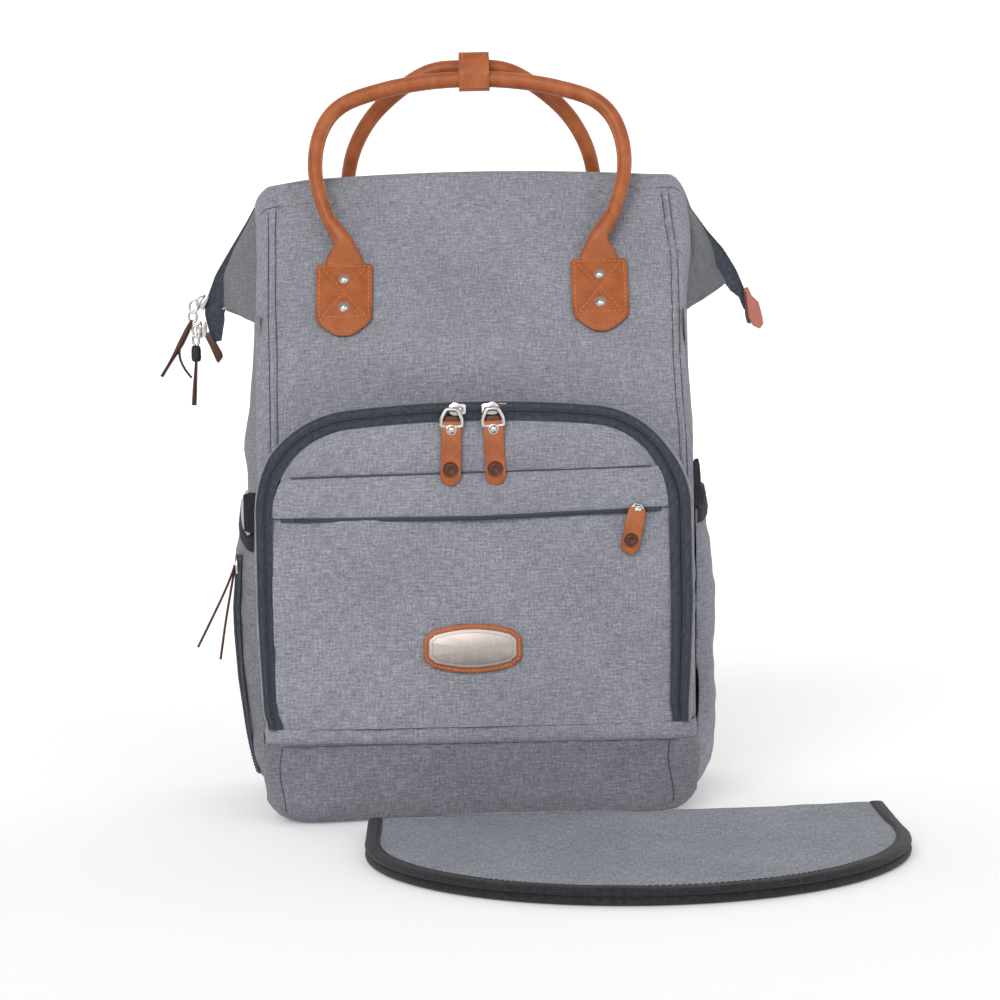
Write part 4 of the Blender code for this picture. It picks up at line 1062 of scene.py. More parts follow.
def flap_fabric():
    edge = 2 * TAPE_W + 0.0006
    low, high = WELT
    behind = (0.0, 0.0, 0.12)
    # upper part, domed under the arch
    line = arch_line(edge, 0.0, 1.6)
    line = line[line[:, 1] > high + 0.0005]
    rows = 30
    grid = np.zeros((rows, len(line) + 2, 3))
    foot = arch_half(edge, high)
    top = np.concatenate([[(-foot, high)], line, [(foot, high)]])
    for j, (x, h) in enumerate(top):
        for i in range(rows):
            s = i / (rows - 1)
            level = high - 0.0035 + (h - high + 0.0035) * s
            xx = x * (0.985 + 0.015 * s)
            rise = (level - high) / 0.036
            puff = 0.0046 * sin(pi * unit(0.02 + 0.98 * rise)) ** 0.6
            puff *= 1 - (abs(x) / foot) ** 8 if abs(x) < foot else 0
            sink = 0.0012 * s**12
            grid[i, j] = on_face(xx, level, 0.0002 + puff - sink - 0.0010 * (1 - s) ** 8)
    field = rumple(grid, 0.034, 0.0014, 51.0) * np.sin(pi * np.linspace(0.1, 0.95, rows))[:, None]
    grid = pushed(grid, behind, field)
    shell("pocket_face_top", grid, [GREY, LINING], BODY_CLOTH, behind, "pocket_flap",
          ["pocket_face_upper"])
    # band folded over the welt zip
    rows, columns = 26, 90
    grid = np.zeros((rows, columns, 3))
    for i in range(rows):
        s = i / (rows - 1)
        h = low + (high + 0.0012 - low) * s
        half = arch_half(edge, h) - 0.0004
        for j, x in enumerate(np.linspace(-half, half, columns)):
            side = 1 - (abs(x) / half) ** 10
            crown = 0.0036 * sin(pi * (0.12 + 0.84 * s)) ** 0.7
            level = h + (welt_line(x) + 0.0017 - low) * (1 - s) + 0.0145 * x * s
            grid[i, j] = on_face(x, level, 0.0008 + (crown + 0.0016 * (1 - s)) * side)
    field = rumple(grid, 0.030, 0.0011, 57.0) * np.sin(pi * np.linspace(0.12, 1, rows))[:, None]
    grid = pushed(grid, behind, field)
    under = grid[0] + np.array((0.0, 0.0030, 0.0006))
    under_two = grid[0] + np.array((0.0, 0.0034, 0.0060))
    lip = grid[0] + np.array((0.0, 0.0007, -0.0010))
    grid = np.concatenate([[under_two, under, lip], grid])
    shell("welt_cover", grid, [GREY, LINING], 0.0012, behind, "pocket_flap", ["welt_band"])
    # A dark cord along the band's top edge: painted shadow under the fold.
    fold = [p + FACE_OUT * 0.0003 for p in map(Vector, grid[-1, 2:-2])]
    seam_cord("pocket_fold_cord", fold, 0.00055, "pocket_flap")
    # lower part
    rows, columns = 64, 110
    grid = np.zeros((rows, columns, 3))
    for i in range(rows):
        s = i / (rows - 1)
        h = -0.0004 + (low + 0.0050) * s
        half = arch_half(edge, min(h, low)) + 0.0002
        for j, x in enumerate(np.linspace(-half, half, columns)):
            side = 1 - (abs(x) / half) ** 7
            end = sin(pi * unit(0.5 + (s - 0.5) * 0.94 if s > 0.5 else 0.42 + 0.16 * s)) ** 0.45
            grid[i, j] = on_face(x, h, -0.0006 + 0.0046 * side * end * (1 - 0.35 * s) - 0.0022 * s**12)
    x, z = grid[..., 0], grid[..., 2]
    calm = unit(np.hypot(x / 0.040, (z - 0.109) / 0.024) - 0.75)
    field = rumple(grid, 0.075, 0.0034, 61.0) * calm
    field += rumple(grid, 0.022, 0.0006, 67.0) * calm
    away = (x + 0.118) * 0.55 + (z - 0.076) * 0.83
    field += 0.0016 * hill(away, 0.0045) * hill(x + 0.113, 0.014)
    pucker = np.sin(z / 0.0125 * 2 * pi) * hill(abs(x) - 0.121, 0.010)
    field += 0.00035 * pucker
    pucker = np.sin(x / 0.0140 * 2 * pi) * hill(z - 0.062, 0.010)
    field += 0.0004 * pucker
    grid = pushed(grid, behind, field)
    shell("pocket_face_main", grid, [GREY, LINING], BODY_CLOTH, behind, "pocket_flap",
          ["pocket_face_lower"])
    # the welt zip's dark tape and coil, seen under the band's edge
    xs = np.linspace(-0.1205, 0.1205, 80)
    fade = 1 - (np.abs(xs) / 0.1215) ** 12
    tape = ((-0.0021, 0.0026), (-0.0008, 0.0034), (0.0012, 0.0032), (0.0060, 0.0004))
    grid = to_xyz([on_face(x, welt_line(x) + h, (out + 0.0010) * f - 0.0010)
                   for h, out in tape for x, f in zip(xs, fade)]).reshape(4, -1, 3)
    shell("welt_zip_tape", grid, [TEETH], 0.0009, behind, "pocket_flap")
    spots = [(on_face(x, welt_line(x), 0.0030), (1, 0, 0), FACE_OUT)
             for x in np.arange(-0.112, 0.112, 0.0021)]
    coil("welt_zip_teeth", spots, (0.0013, 0.0018, 0.0010), "pocket_flap")


def base_cloth():
    """The band round the pocket's foot, and the bag's underside."""
    corner = 0.020
    levels = [(0.0006, 0.0190), (0.0000, 0.0150), (0.0012, 0.0105), (0.0042, 0.0062), (0.0085, 0.0026)]
    levels += [(z, -0.0026 * sin(pi * (z - 0.010) / 0.041) ** 0.7)
               for z in np.linspace(0.014, 0.0465, 15)]
    levels += [(0.0484, -0.0006), (0.0494, 0.0006), (0.0500, 0.0022)]
    rows = []
    for z, tuck in levels:
        half, near = POCKET_HALF + 0.0005 - (tuck if z < 0.0460 else -0.0010), FLAP.y + tuck
        left = [(-half, y) for y in np.linspace(-0.0560, near + corner, 14)]
        left += arc((corner - half, near + corner), corner, 180, 270, 12)[1:]
        span = np.linspace(corner - half, half - corner, 62)[1:-1]
        plan = left + [(x, near) for x in span] + [(-x, y) for x, y in reversed(left)]
        low = unit((0.058 - z) / 0.030)
        row = []
        for x, y in plan:
            forward = unit((-0.060 - y) / 0.030)
            swell = 0.0150 * hill(x + 0.108, 0.050) * low * forward
            row.append((x, y - swell, z))
        rows.append(row)
    grid = to_grid(rows)
    behind = (0.0, -0.060, 0.03)
    calm = unit((grid[..., 2] - 0.004) / 0.014) * unit((0.0500 - grid[..., 2]) / 0.008)
    field = rumple(grid, 0.045, 0.0026, 71.0) * calm
    pucker = np.sin(grid[..., 0] / 0.0150 * 2 * pi + 2.0 * np.sin(grid[..., 0] / 0.031))
    field += 0.0005 * pucker * hill(grid[..., 2] - 0.045, 0.007)
    grid = pushed(grid, behind, field)
    grid[..., 2] = np.maximum(grid[..., 2], 0.0002)
    for side, seam in BASE_SEAMS:
        away = grid[..., 0] - side * seam + 0.0016 * np.sin(grid[..., 2] / 0.016)
        grid[..., 1] += 0.0013 * hill(away, 0.0010) * (grid[..., 1] < -0.080)
    # The band takes the darker heather: painted shade.
    shell("base_band_cloth", grid, [BAND_SHADED_GREY, LINING], POCKET_CLOTH, behind, "root",
          ["base_band"])
    # A dark cord along the band's top seam: painted shadow in the seam.
    normal = normals_of(grid, behind)
    columns = np.array([i for i, (x, y, _) in enumerate(grid[-3]) if -0.1264 < x < 0.1215
                        and y < -0.085], float)
    points, _ = trace(grid, normal, np.full(len(columns), len(levels) - 2.2), columns)
    seam_cord("base_band_cord", points, 0.00040, "root")
    # Dark cords down the band's upright seams: painted shadow in the seams.
    for side, seam in BASE_SEAMS:
        points = []
        for row in grid[4:-2]:
            front = row[row[:, 1] < -0.082]
            x = side * seam + 0.0016 * sin(row[0, 2] / 0.008)
            points.append((x, np.interp(x, front[:, 0], front[:, 1]) - 0.0001, row[0, 2]))
        seam_cord(f"base_side_seam_{side_name(side)}", points, 0.00040, "root")
    # the strip between the flap's fold and the band's seam
    rows = []
    for z, out in ((0.0492, 0.0004), (0.0500, 0.0018), (0.0520, 0.0030), (0.0550, 0.0036), (0.0580, 0.0037),
                   (0.0600, 0.0030), (0.0606, 0.0014)):
        half = POCKET_HALF
        plan = [(-half - 0.0014, y, 0.3) for y in np.linspace(-0.0560, -0.0800, 10)]
        plan += [(x - 0.0014 * (1 - k / 9), y, 0.3 + 0.7 * k / 9)
                 for k, (x, y) in enumerate(arc((0.0192 - half, -0.0808), 0.0192, 180, 270, 10)[1:])]
        plan += [(x, -0.1000, 1.0) for x in np.linspace(0.0192 - half, half - 0.0192, 60)[1:-1]]
        plan += [(-x, y, w) for x, y, w in reversed(plan[:19])]
        rows.append([(x, y - out * w, z) for x, y, w in plan])
    grid = to_grid(rows)
    field = rumple(grid, 0.022, 0.0007, 73.0) * np.array((0, 0.5, 1, 1, 0.8, 0.3, 0))[:, None]
    shell("pocket_foot_strip", pushed(grid, behind, field), [GREY, LINING], POCKET_CLOTH, behind, FLAP_FOLD)
    rows = []
    outer_x, back_y, front_y = 0.1300, 0.0930, -0.0925
    for share in (1.0, 0.985, 0.955, 0.90, 0.75, 0.5, 0.25, 0.02):
        ring = []
        for i in range(72):
            a, b = squared(2 * pi * i / 72, 0.24)
            x = outer_x * a * share
            y = (back_y + front_y) / 2 + (back_y - front_y) / 2 * b * share
            z = 0.0034 - 0.0032 * min(1.0, (1 - share) / 0.045) ** 0.5
            ring.append((x, y, z))
        rows.append(ring + ring[:1])
    grid = to_grid(rows)
    cloth = grid[..., :2]
    shell("base_cloth", grid, [GREY, LINING], 0.0012, (0.0, 0.0, 0.05), "root",
          ["base_panel"], cloth)


# Leather, metal and other trim


def rivet(name, place, radius, home):
    """A domed rivet with a rim; `place`'s -Y points out of the leather."""
    face_on = place @ turned(pi / 2, "X")
    profile = [(radius * 0.98, -0.0006), (radius, 0.0001), (radius * 0.96, 0.0004), (radius * 0.80, 0.0005),
               (radius * 0.76, 0.0008), (radius * 0.62, 0.0013), (radius * 0.40, 0.0017),
               (radius * 0.16, 0.0019), (radius * 0.02, 0.00195)]
    return lathe(name, profile, face_on, [NICKEL], home)


def inset_outline(outline, amount):
    """The outline moved inwards, corner by corner."""
    points = np.array(outline, float)
    area = np.sum(points[:, 0] * np.roll(points[:, 1], -1) - np.roll(points[:, 0], -1) * points[:, 1])
    before, after = np.roll(points, 1, axis=0), np.roll(points, -1, axis=0)
    along = after - before
    along /= np.maximum(np.linalg.norm(along, axis=1, keepdims=True), 1e-9)
    inwards = np.stack([-along[:, 1], along[:, 0]], axis=1) * np.sign(area)
    return points + inwards * amount


def outline_stitches(name, outline, place, height, home, closed=True, pitch=0.0034, extra=()):
    lines = []
    loops = [np.concatenate([outline, outline[:1]]) if closed else np.array(outline)]
    loops += [np.array(line, float) for line in extra]
    for loop in loops:
        loop = resample(loop, max(3, int(length_of(loop) / 0.001)))
        points = to_xyz([place @ Vector((u, -height, v)) for u, v in loop])
        outwards = place.to_3x3() @ Vector((0, -1, 0))
        lines.append((points, np.repeat([tuple(outwards)], len(points), axis=0)))
    return stitches(name, lines, THREAD_TAN, home, pitch, 0.0024, 0.00030)


def handle_tab(half, side, back):
    """A stitched tab with two rivets, whose neck closes round the handle's end."""
    name = f"{half}_{side_name(side)}"
    x = side * TAB_X
    place = mouth_frame(x, 0.0, 0.0034, back)
    halfw = 0.0186
    right = [(0.0, 0.0082), (0.0040, 0.0088), (0.0078, 0.0106), (0.0130, 0.0150), (0.0165, 0.0186),
             (0.0181, 0.0215), (halfw, 0.0260), (halfw, 0.0480), (halfw, 0.0618), (0.0180, 0.0632),
             (0.0166, 0.0642)]
    outline = right + [(0.0, 0.0642)] + [(-u, v) for u, v in reversed(right[1:])]
    plate(f"handle_tab_plate_{name}", outline, 0.0019, place, [TAN], f"mouth_{half}",
          [f"handle_tab_{name}"], bevel=0.0007)
    seam = inset_outline(resample(np.array(outline + outline[:1]), 90)[:-1], 0.0024)
    box, low, high = 0.0142, 0.0228, 0.0606
    cross = [[(-box, low), (box, high)], [(box, low), (-box, high)], [(-box, low), (box, low)]]
    outline_stitches(f"handle_tab_stitching_{name}", seam, place, 0.0001, f"mouth_{half}", extra=cross)
    for count, h in enumerate((0.0300, 0.0518)):
        obj = rivet(f"tab_rivet_{name}_{count}", place @ moved((0, -0.0002, h)), 0.0038,
                    f"mouth_{half}")
        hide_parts(f"tab_rivets_{name}")
    return name


HANDLES = {
    "front": dict(pivot=(0.0, -0.02393, 0.37255), up=(0.0, 0.3223, 0.9466), reach=0.1161,
                  keys=[(0.0840, 0.0), (0.0945, 0.150), (0.1030, 0.430), (0.0995, 0.680), (0.0860, 0.845),
                        (0.0600, 0.935), (0.0300, 0.985), (0.0, 1.0)]),
    "back": dict(pivot=(0.0, 0.06393, 0.37255), up=(0.0, -0.3002, 0.9539), reach=0.1247,
                 keys=[(0.0830, 0.0), (0.0855, 0.180), (0.0845, 0.400), (0.0780, 0.590), (0.0640, 0.765),
                       (0.0420, 0.915), (0.0230, 0.990), (0.0, 1.0)]),
}


def handle(half):
    facts = HANDLES[half]
    up = Vector(facts["up"]).normalized()
    pivot = Vector(facts["pivot"])
    keys = [(-x, h) for x, h in facts["keys"]] + list(reversed(facts["keys"]))[1:]
    path = [pivot + Vector((x, 0, 0)) + up * (h * facts["reach"]) for x, h in keys]
    path = smooth(to_xyz(path), 150)
    rings = []
    run = np.linspace(0, length_of(path), len(path))
    for place in run:
        end = min(place, run[-1] - place)
        radius = np.interp(end, (0.0, 0.020, 0.060, 0.110), (0.0047, 0.0045, 0.0050, 0.00545))
        rings.append(oval(radius, radius, 20))
    flat = Vector((0, 1, 0)) - up * up.y
    loft(f"handle_roll_{half}", path, rings, [TAN], f"handle_{half}",
         [f"handle_{half}"], up=flat)
    # the seam where the leather closes, along the inside of the curve
    path3, tangent, _, _ = frames_along(path, flat)
    centre = path3.mean(axis=0)
    seam_points, seam_out = [], []
    for i in range(3, len(path3) - 3):
        inwards = np.cross(tangent[i], np.array(flat))
        if np.dot(inwards, centre - path3[i]) < 0:
            inwards = -inwards
        direction = inwards * 0.75 + np.array(flat) * (-0.55 if half == "front" else 0.55)
        direction /= np.linalg.norm(direction)
        seam_points.append(path3[i] + direction * 0.0050)
        seam_out.append(direction)
    stitches(f"handle_seam_{half}", [(np.array(seam_points), np.array(seam_out))], THREAD_TAN,
             f"handle_{half}", pitch=0.0040, long=0.0029)
    # necks from the tabs to the roll
    back = half == "back"
    for side in (-1, 1):
        name = f"{half}_{side_name(side)}"
        base = side * TAB_X
        first = pivot + Vector((side * facts["keys"][0][0], 0, 0))
        way = Vector((side * (facts["keys"][1][0] - facts["keys"][0][0]), 0, 0))
        way += up * ((facts["keys"][1][1] - facts["keys"][0][1]) * facts["reach"])
        way.normalize()
        spine = [on_mouth(base, 0.0600, 0.0016, back), on_mouth(base, 0.0646, 0.0026, back),
                 on_mouth(base, 0.0700, 0.0052, back),
                 first.lerp(on_mouth(base, 0.0700, 0.0052, back), 0.35),
                 first + way * 0.0025, first + way * 0.0110, first + way * 0.0170]
        sizes = [(0.0132, 0.0008), (0.0128, 0.0015), (0.0108, 0.0030), (0.0076, 0.0044), (0.0060, 0.0052),
                 (0.0054, 0.0054), (0.0050, 0.0050)]
        path = smooth(to_xyz(spine), 26)
        run = run_of(to_xyz(spine))
        where = np.linspace(0, run[-1], len(path))
        wide = np.interp(where, run, [s[0] for s in sizes])
        thick = np.interp(where, run, [s[1] for s in sizes])
        rings = [oval(b, a, 20, 0.9) for a, b in zip(wide, thick)]
        outwards = flipped(MOUTH_OUT) if back else MOUTH_OUT
        start, end = on_mouth(base, 0.0680, 0.006, back), first + way * 0.0060
        loft(f"handle_neck_{name}", path, rings, [TAN],
             (f"mouth_{half}", f"handle_{half}", start, end), up=outwards)


def wrap():
    """The leather that holds both handles together at the top."""
    back_y, back_z = RIDGE_Y + 0.0065, 0.4915
    front_y, front_z = RIDGE_Y - 0.0065, 0.4825
    centre, half = 0.0040, 0.0102
    inner = 0.0064
    ring = []
    for angle in range(-150, 151, 10):
        turn = radians(angle)
        ring.append((back_y + (inner + 0.0013) * cos(turn), back_z + (inner + 0.0013) * sin(turn)))
    tongue_z = front_z - 0.0059
    lead = [(front_y - 0.0052, tongue_z - 0.0015), (front_y + 0.0010, tongue_z - 0.0016)]
    line = smooth([(0.0, y, z) for y, z in lead + ring[::2]], 60)
    grid = np.array([[(x, p[1], p[2]) for p in line] for x in np.linspace(centre - half, centre + half, 13)])
    grid[..., 0] *= 1 + 0.02 * np.sin(np.arange(len(line)) * 0.3)[None, :]
    shell("handle_wrap_band", grid, [TAN], 0.0014, (0.0, RIDGE_Y + 0.003, 0.487), "handle_back",
          ["wrap_band"])
    over_z = back_z + inner + 0.0027
    lip_y = front_y - 0.0060
    keys = [(back_y + 0.0040, over_z + 0.0008), (back_y - 0.0010, over_z + 0.0013),
            (RIDGE_Y - 0.0010, over_z + 0.0006), (front_y - 0.0018, over_z - 0.0016),
            (lip_y - 0.0008, front_z + 0.0052), (lip_y - 0.0012, front_z - 0.0004),
            (lip_y - 0.0004, tongue_z - 0.0012)]
    line = smooth([(0.0, y, z) for y, z in keys], 40)
    grid = np.array([[(x, p[1], p[2]) for p in line] for x in np.linspace(centre - half, centre + half, 13)])
    shell("handle_wrap_flap", grid, [TAN], 0.0014, (0.0, RIDGE_Y + 0.004, 0.484), "wrap_flap",
          ["wrap_flap"])
    normal = normals_of(grid, (0.0, RIDGE_Y + 0.004, 0.484))
    columns = np.arange(2, 38, 1.0)
    lines = [trace(grid, normal, np.full(len(columns), row), columns) for row in (1.6, 10.4)]
    stitches("handle_wrap_stitching", lines, THREAD_TAN, "wrap_flap", pitch=0.0030, long=0.0021)


def ring_path(width_top, width_low, high):
    """A closed metal link in the XZ plane, hanging from its top bar."""
    a, b = width_top / 2, width_low / 2
    keys = [(0, 0), (a * 0.8, 0), (a, -0.001), ((a + b) / 2, -high * 0.5), (b, -high + 0.0012),
            (b * 0.8, -high), (0, -high)]
    keys += [(-x, z) for x, z in keys[-2:0:-1]]
    return keys


def closed_loop(keys, place):
    """A smooth closed line through (x, z) keys."""
    points = to_xyz([place @ Vector((x, 0, z)) for x, z in keys])
    ring = np.concatenate([points[-2:], points, points[:3]])
    fine = []
    for a, b, c, d in zip(ring, ring[1:], ring[2:], ring[3:]):
        for t in np.arange(6) / 6.0:
            fine.append(0.5 * (2 * b + (c - a) * t + (2 * a - 5 * b + 4 * c - d) * t**2
                               + (3 * b - a - 3 * c + d) * t**3))
    return np.array(fine)[6:6 + 6 * len(keys)]


def leather_pull(name, body, place, long, wide, neck, node, thick=0.0022, mark=True, look=None,
                 riveted=True):
    """A leather zip pull hanging down place's -Z, its face at -Y, in a metal stirrup."""
    look = look or TAN
    top = neck - 0.0010
    w = wide / 2
    outline = [(-w * 0.80, -top), (-w * 0.94, -top - 0.0022), (-w, -top - 0.0080), (-w, -long + w)]
    outline += arc((0.0, -long + w), w, 180, 360, 14)[1:]
    outline += [(w, -top - 0.0080), (w * 0.94, -top - 0.0022), (w * 0.80, -top)]
    centred = place @ moved((0, -thick / 2, 0))
    plate(f"{name}_leather", outline[::-1], thick, centred, [look], body, [node],
          bevel=0.0006)
    if riveted:
        a, b, foot = w * 0.66, w + 0.0001, top + 0.0040
        keys = [(0, 0.0016), (a * 0.7, 0.0014), (a, 0.0002), (b * 0.96, -foot * 0.42), (b, -foot * 0.66),
                (b, -foot + 0.0010), (b * 0.8, -foot), (0, -foot)]
        keys += [(-x, z) for x, z in keys[-2:0:-1]]
        fold = [(-w * 0.50, -0.0020), (w * 0.50, -0.0020), (w * 0.78, -top - 0.0010),
                (-w * 0.78, -top - 0.0010)]
        plate(f"{name}_loop_leather", fold, 0.0012, place @ moved((0, -0.0006, 0)), [DEEP],
              body, bevel=0.0003)
    else:
        keys = ring_path(wide * 0.42, wide * 0.62, top + 0.0024)
    link = closed_loop(keys, place @ moved((0, 0, 0.0008)))
    wire = 0.0014 if riveted else 0.0007
    loft(f"{name}_link", link, [oval(wire, wire, 8)], [NICKEL], body, closed=True)
    if mark:
        if riveted:
            rivet(f"{name}_rivet", centred @ moved((0, -0.0001, -top - 0.0054)), wide * 0.26, body)
        ring_at = centred @ moved((0, -0.00005, -long + w + 0.0038 * riveted + 0.0030 * (not riveted)))
        face_on = ring_at @ turned(pi / 2, "X")
        r = wide * 0.39
        profile = [(r, -0.0002), (r, 0.0001), (r * 0.96, 0.0004), (r * 0.88, 0.0004), (r * 0.82, 0.0001),
                   (r * 0.62, 0.0001), (r * 0.56, 0.0004), (r * 0.46, 0.0004), (r * 0.40, 0.0001),
                   (r * 0.06, 0.0001)]
        lathe(f"{name}_embossed_ring", profile, face_on, [DEEP], body)


def zip_slider(name, body, place, long, wide, node, bridge=0.0050):
    """A slider seen from above: a waisted body with a bridge. Its length is place's Z."""
    w, l = wide / 2, long / 2
    right = [(w * 0.30, l), (w * 0.62, l * 0.86), (w * 0.98, l * 0.45), (w, l * 0.15), (w * 0.80, -l * 0.25),
             (w * 0.74, -l * 0.80), (w * 0.55, -l)]
    outline = right + [(-u, v) for u, v in reversed(right)]
    plate(f"{name}_body", outline[::-1], 0.0014, place @ moved((0, -0.0021, 0)), [NICKEL],
          body, [node], bevel=0.0004)
    arch = []
    for i in range(13):
        t = pi * i / 12
        arch.append(place @ Vector((0, -0.0018 - bridge * 0.52 * sin(t) ** 0.6, l * 0.62 * cos(t))))
    loft(f"{name}_bridge", to_xyz(arch), [oval(0.0006, 0.0014, 10)], [NICKEL], body,
         up=place.to_3x3() @ Vector((0, -1, 0)))


def pocket_hardware():
    for name, side in (("left", -1), ("right", 1)):
        h = ARCH_TOP - TAPE_W - 0.0004
        place = face_frame(side * 0.0105, h + 0.0016, 0.0012) @ turned(side * pi / 2, "Y")
        zip_slider(f"arch_slider_{name}", f"arch_slider_{name}", place, 0.0112, 0.0092,
                   f"arch_slider_{name}")
        pivot = on_face(-0.0140 if side < 0 else 0.0120, h - 0.0010, 0.0072)
        tilt = radians(2.2 if side < 0 else -1.6)
        spot = moved(pivot) @ turned(tilt, "Y")
        leather_pull(f"arch_pull_{name}", f"arch_pull_{name}", spot, 0.0462, 0.0130, 0.0062,
                     f"arch_pull_{name}")
    x, h = 0.1046, WELT[0] + 0.0008
    place = face_frame(x, h, 0.0040) @ turned(pi / 2, "Y")
    zip_slider("welt_slider", "welt_slider", place, 0.0085, 0.0056, "welt_slider", 0.0030)
    pivot = on_face(x, 0.1378, 0.0067)
    spot = moved(pivot) @ turned(radians(12), "Y")
    leather_pull("welt_pull", "welt_pull", spot, 0.0312, 0.0118, 0.0022, "welt_pull", riveted=False)


def badge():
    """A blank brushed plate with a raised border, in a stitched leather surround."""
    centre_h = 0.0485

    def lens(half_x, half_h, bow, corner):
        top = [(x, half_h - bow * (x / half_x) ** 2)
               for x in np.linspace(half_x - corner, corner - half_x, 19)]
        right = [(half_x, h) for h in np.linspace(0, half_h - bow - corner, 4)]
        ease = [(half_x - corner * (1 - cos(a)), half_h - bow - corner + corner * sin(a))
                for a in np.linspace(0.3, 1.3, 4)]
        upper = right + ease + top
        left = [(-x, z) for x, z in reversed(right + ease)]
        whole = upper + left
        return whole + [(x, -z) for x, z in reversed(whole[1:-1])]

    place = face_frame(-0.0038, centre_h + 0.0010, 0.0066)
    plate("badge_surround_leather", lens(0.0312, 0.0156, 0.0058, 0.0052), 0.0022, place, [TAN],
          "pocket_flap", ["badge_surround"], bevel=0.0008)
    seam = np.array(lens(0.0297, 0.0141, 0.0055, 0.0044))
    outline_stitches("badge_stitching", seam, place, 0.0002, "pocket_flap", pitch=0.0030)
    plate("badge_rim", lens(0.0280, 0.0125, 0.0049, 0.0036), 0.0016,
          face_frame(-0.0038, centre_h + 0.0010, 0.0078),
          [BADGE], "pocket_flap", ["badge_plate"], bevel=0.0007)
    plate("badge_field", lens(0.0256, 0.0102, 0.0043, 0.0028), 0.0012,
          face_frame(-0.0038, centre_h + 0.0010, 0.0082),
          [BADGE], "pocket_flap", bevel=0.0003, dome=0.0006)


def flat_pull(name, body, keys, widths, look, node=None):
    """A strip of leather seen edge-on, along (x, z) keys in the ridge plane."""
    path = smooth([(x, RIDGE_Y - 0.0004, z) for x, z in keys], 34)
    sizes = np.interp(np.linspace(0, 1, 34), np.linspace(0, 1, len(widths)), widths)
    rings = [oval(0.0045, max(0.0004, size / 2), 14, 0.75) for size in sizes]
    return loft(name, path, rings, [look], body, [node] if node else (), up=(0, 1, 0))


def wire_ring(name, body, x, z, high, wide, lean=0.0, wire=0.00085):
    """A small closed ring that hangs in the ridge plane."""
    place = moved((x, RIDGE_Y - 0.0035, z)) @ turned(radians(lean), "Y")
    line = [place @ Vector((wide / 2 * sin(a), 0, high / 2 * cos(a)))
            for a in np.linspace(0, 2 * pi, 29)[:-1]]
    loft(name, to_xyz(line), [oval(wire, wire, 8)], [NICKEL], body, up=(0, 1, 0), closed=True)


def ear_hardware():
    """Two sliders that ride the ridge's zip at the left tip, their rings, pulls and bead."""
    for name, z, out, tilt in (("upper", 0.3360, 0.0007, 28.6), ("lower", 0.3180, 0.0012, 0.0)):
        x = -0.1822 - out
        body = f"main_slider_{name}" if name == "upper" else "root"
        place = moved((x - 0.0004, RIDGE_Y, z)) @ turned(radians(tilt), "Y")
        place = place @ turned(-pi / 2, "Z")
        zip_slider(f"main_slider_{name}", body, place, 0.0118, 0.0086, f"main_slider_{name}")
        cheek = [(-0.0012, 0.0048), (0.0012, 0.0052), (0.0017, 0.0020), (0.0016, -0.0046),
                 (-0.0014, -0.0050),
                 (-0.0019, 0.0)]
        side_on = moved((x + 0.0006, RIDGE_Y - 0.0038, z)) @ turned(radians(tilt), "Y")
        plate(f"main_slider_{name}_cheek", cheek[::-1], 0.0076, side_on, [NICKEL], body,
              bevel=0.0005)
    wire_ring("main_pull_upper_ring", "main_pull_upper", -0.1893, 0.3338, 0.0085, 0.0058, 10)
    wire_ring("main_pull_upper_ring_two", "main_pull_upper", -0.1902, 0.3268, 0.0080, 0.0054, 4)
    wire_ring("main_pull_lower_ring", "main_pull_lower", -0.1880, 0.3170, 0.0080, 0.0050, -14)
    wire_ring("main_pull_lower_ring_two", "main_pull_lower", -0.1885, 0.3108, 0.0070, 0.0040, 0)
    flat_pull("main_pull_upper_leather", "main_pull_upper",
              [(-0.1908, 0.3245), (-0.1930, 0.3205), (-0.1968, 0.3130), (-0.2006, 0.3062), (-0.2064, 0.2965),
               (-0.2126, 0.2868)], (0.0026, 0.0040, 0.0042, 0.0030, 0.0020, 0.0021), MAROON,
              "main_pull_upper")
    flat_pull("main_pull_upper_strand", "main_pull_upper",
              [(-0.1976, 0.3110), (-0.2000, 0.3050), (-0.1998, 0.2985), (-0.1968, 0.2915),
               (-0.1925, 0.2855)],
              (0.0013, 0.0012, 0.0012), THREAD_BLACK)
    flat_pull("main_pull_lower_leather", "main_pull_lower",
              [(-0.1886, 0.3080), (-0.1890, 0.2960), (-0.1894, 0.2900), (-0.1902, 0.2800),
               (-0.1912, 0.2668)],
              (0.0014, 0.0016, 0.0022, 0.0030, 0.0032), MAROON, "main_pull_lower")
    bead = moved((-0.1888, RIDGE_Y - 0.0010, 0.3020))
    profile = [(0.0016, 0.0056), (0.0028, 0.0048), (0.0033, 0.0024), (0.0034, -0.0030), (0.0028, -0.0052),
               (0.0016, -0.0058)]
    lathe("main_pull_bead", profile, bead, [PLASTIC_UV], "main_pull_lower")
    # The left end tab is painted in the dark pull leather as painted shade; the right one has the tab's own
    # rose leather.
    ends = (
        ("left", MAROON, [(-0.1832, 0.3150), (-0.1786, 0.3166), (-0.1748, 0.3088), (-0.1712, 0.3020),
                          (-0.1708, 0.2992), (-0.1738, 0.2952), (-0.1752, 0.2966), (-0.1790, 0.3060)], ()),
        ("right", ROSE, [(0.1836, 0.3385), (0.1866, 0.3392), (0.1894, 0.3330), (0.1938, 0.3290),
                         (0.1962, 0.3190),
                         (0.1968, 0.3140), (0.1944, 0.3108), (0.1900, 0.3130), (0.1862, 0.3190),
                         (0.1846, 0.3290)],
         ("zip_end_tab",)),
    )
    for name, look, outline, nodes in ends:
        plate(f"zip_end_leather_{name}", outline, 0.0050, moved((0, RIDGE_Y - 0.0030, 0)), [look],
              "root", nodes, bevel=0.0007)
    edge = [(0.1836, 0.3360), (0.1852, 0.3360), (0.1868, 0.3190), (0.1884, 0.3140), (0.1858, 0.3150),
            (0.1846, 0.3200)]
    plate("zip_end_edge_right", edge, 0.0040, moved((0, RIDGE_Y - 0.0034, 0)), [MAROON], "root",
          bevel=0.0004)


# Side pockets


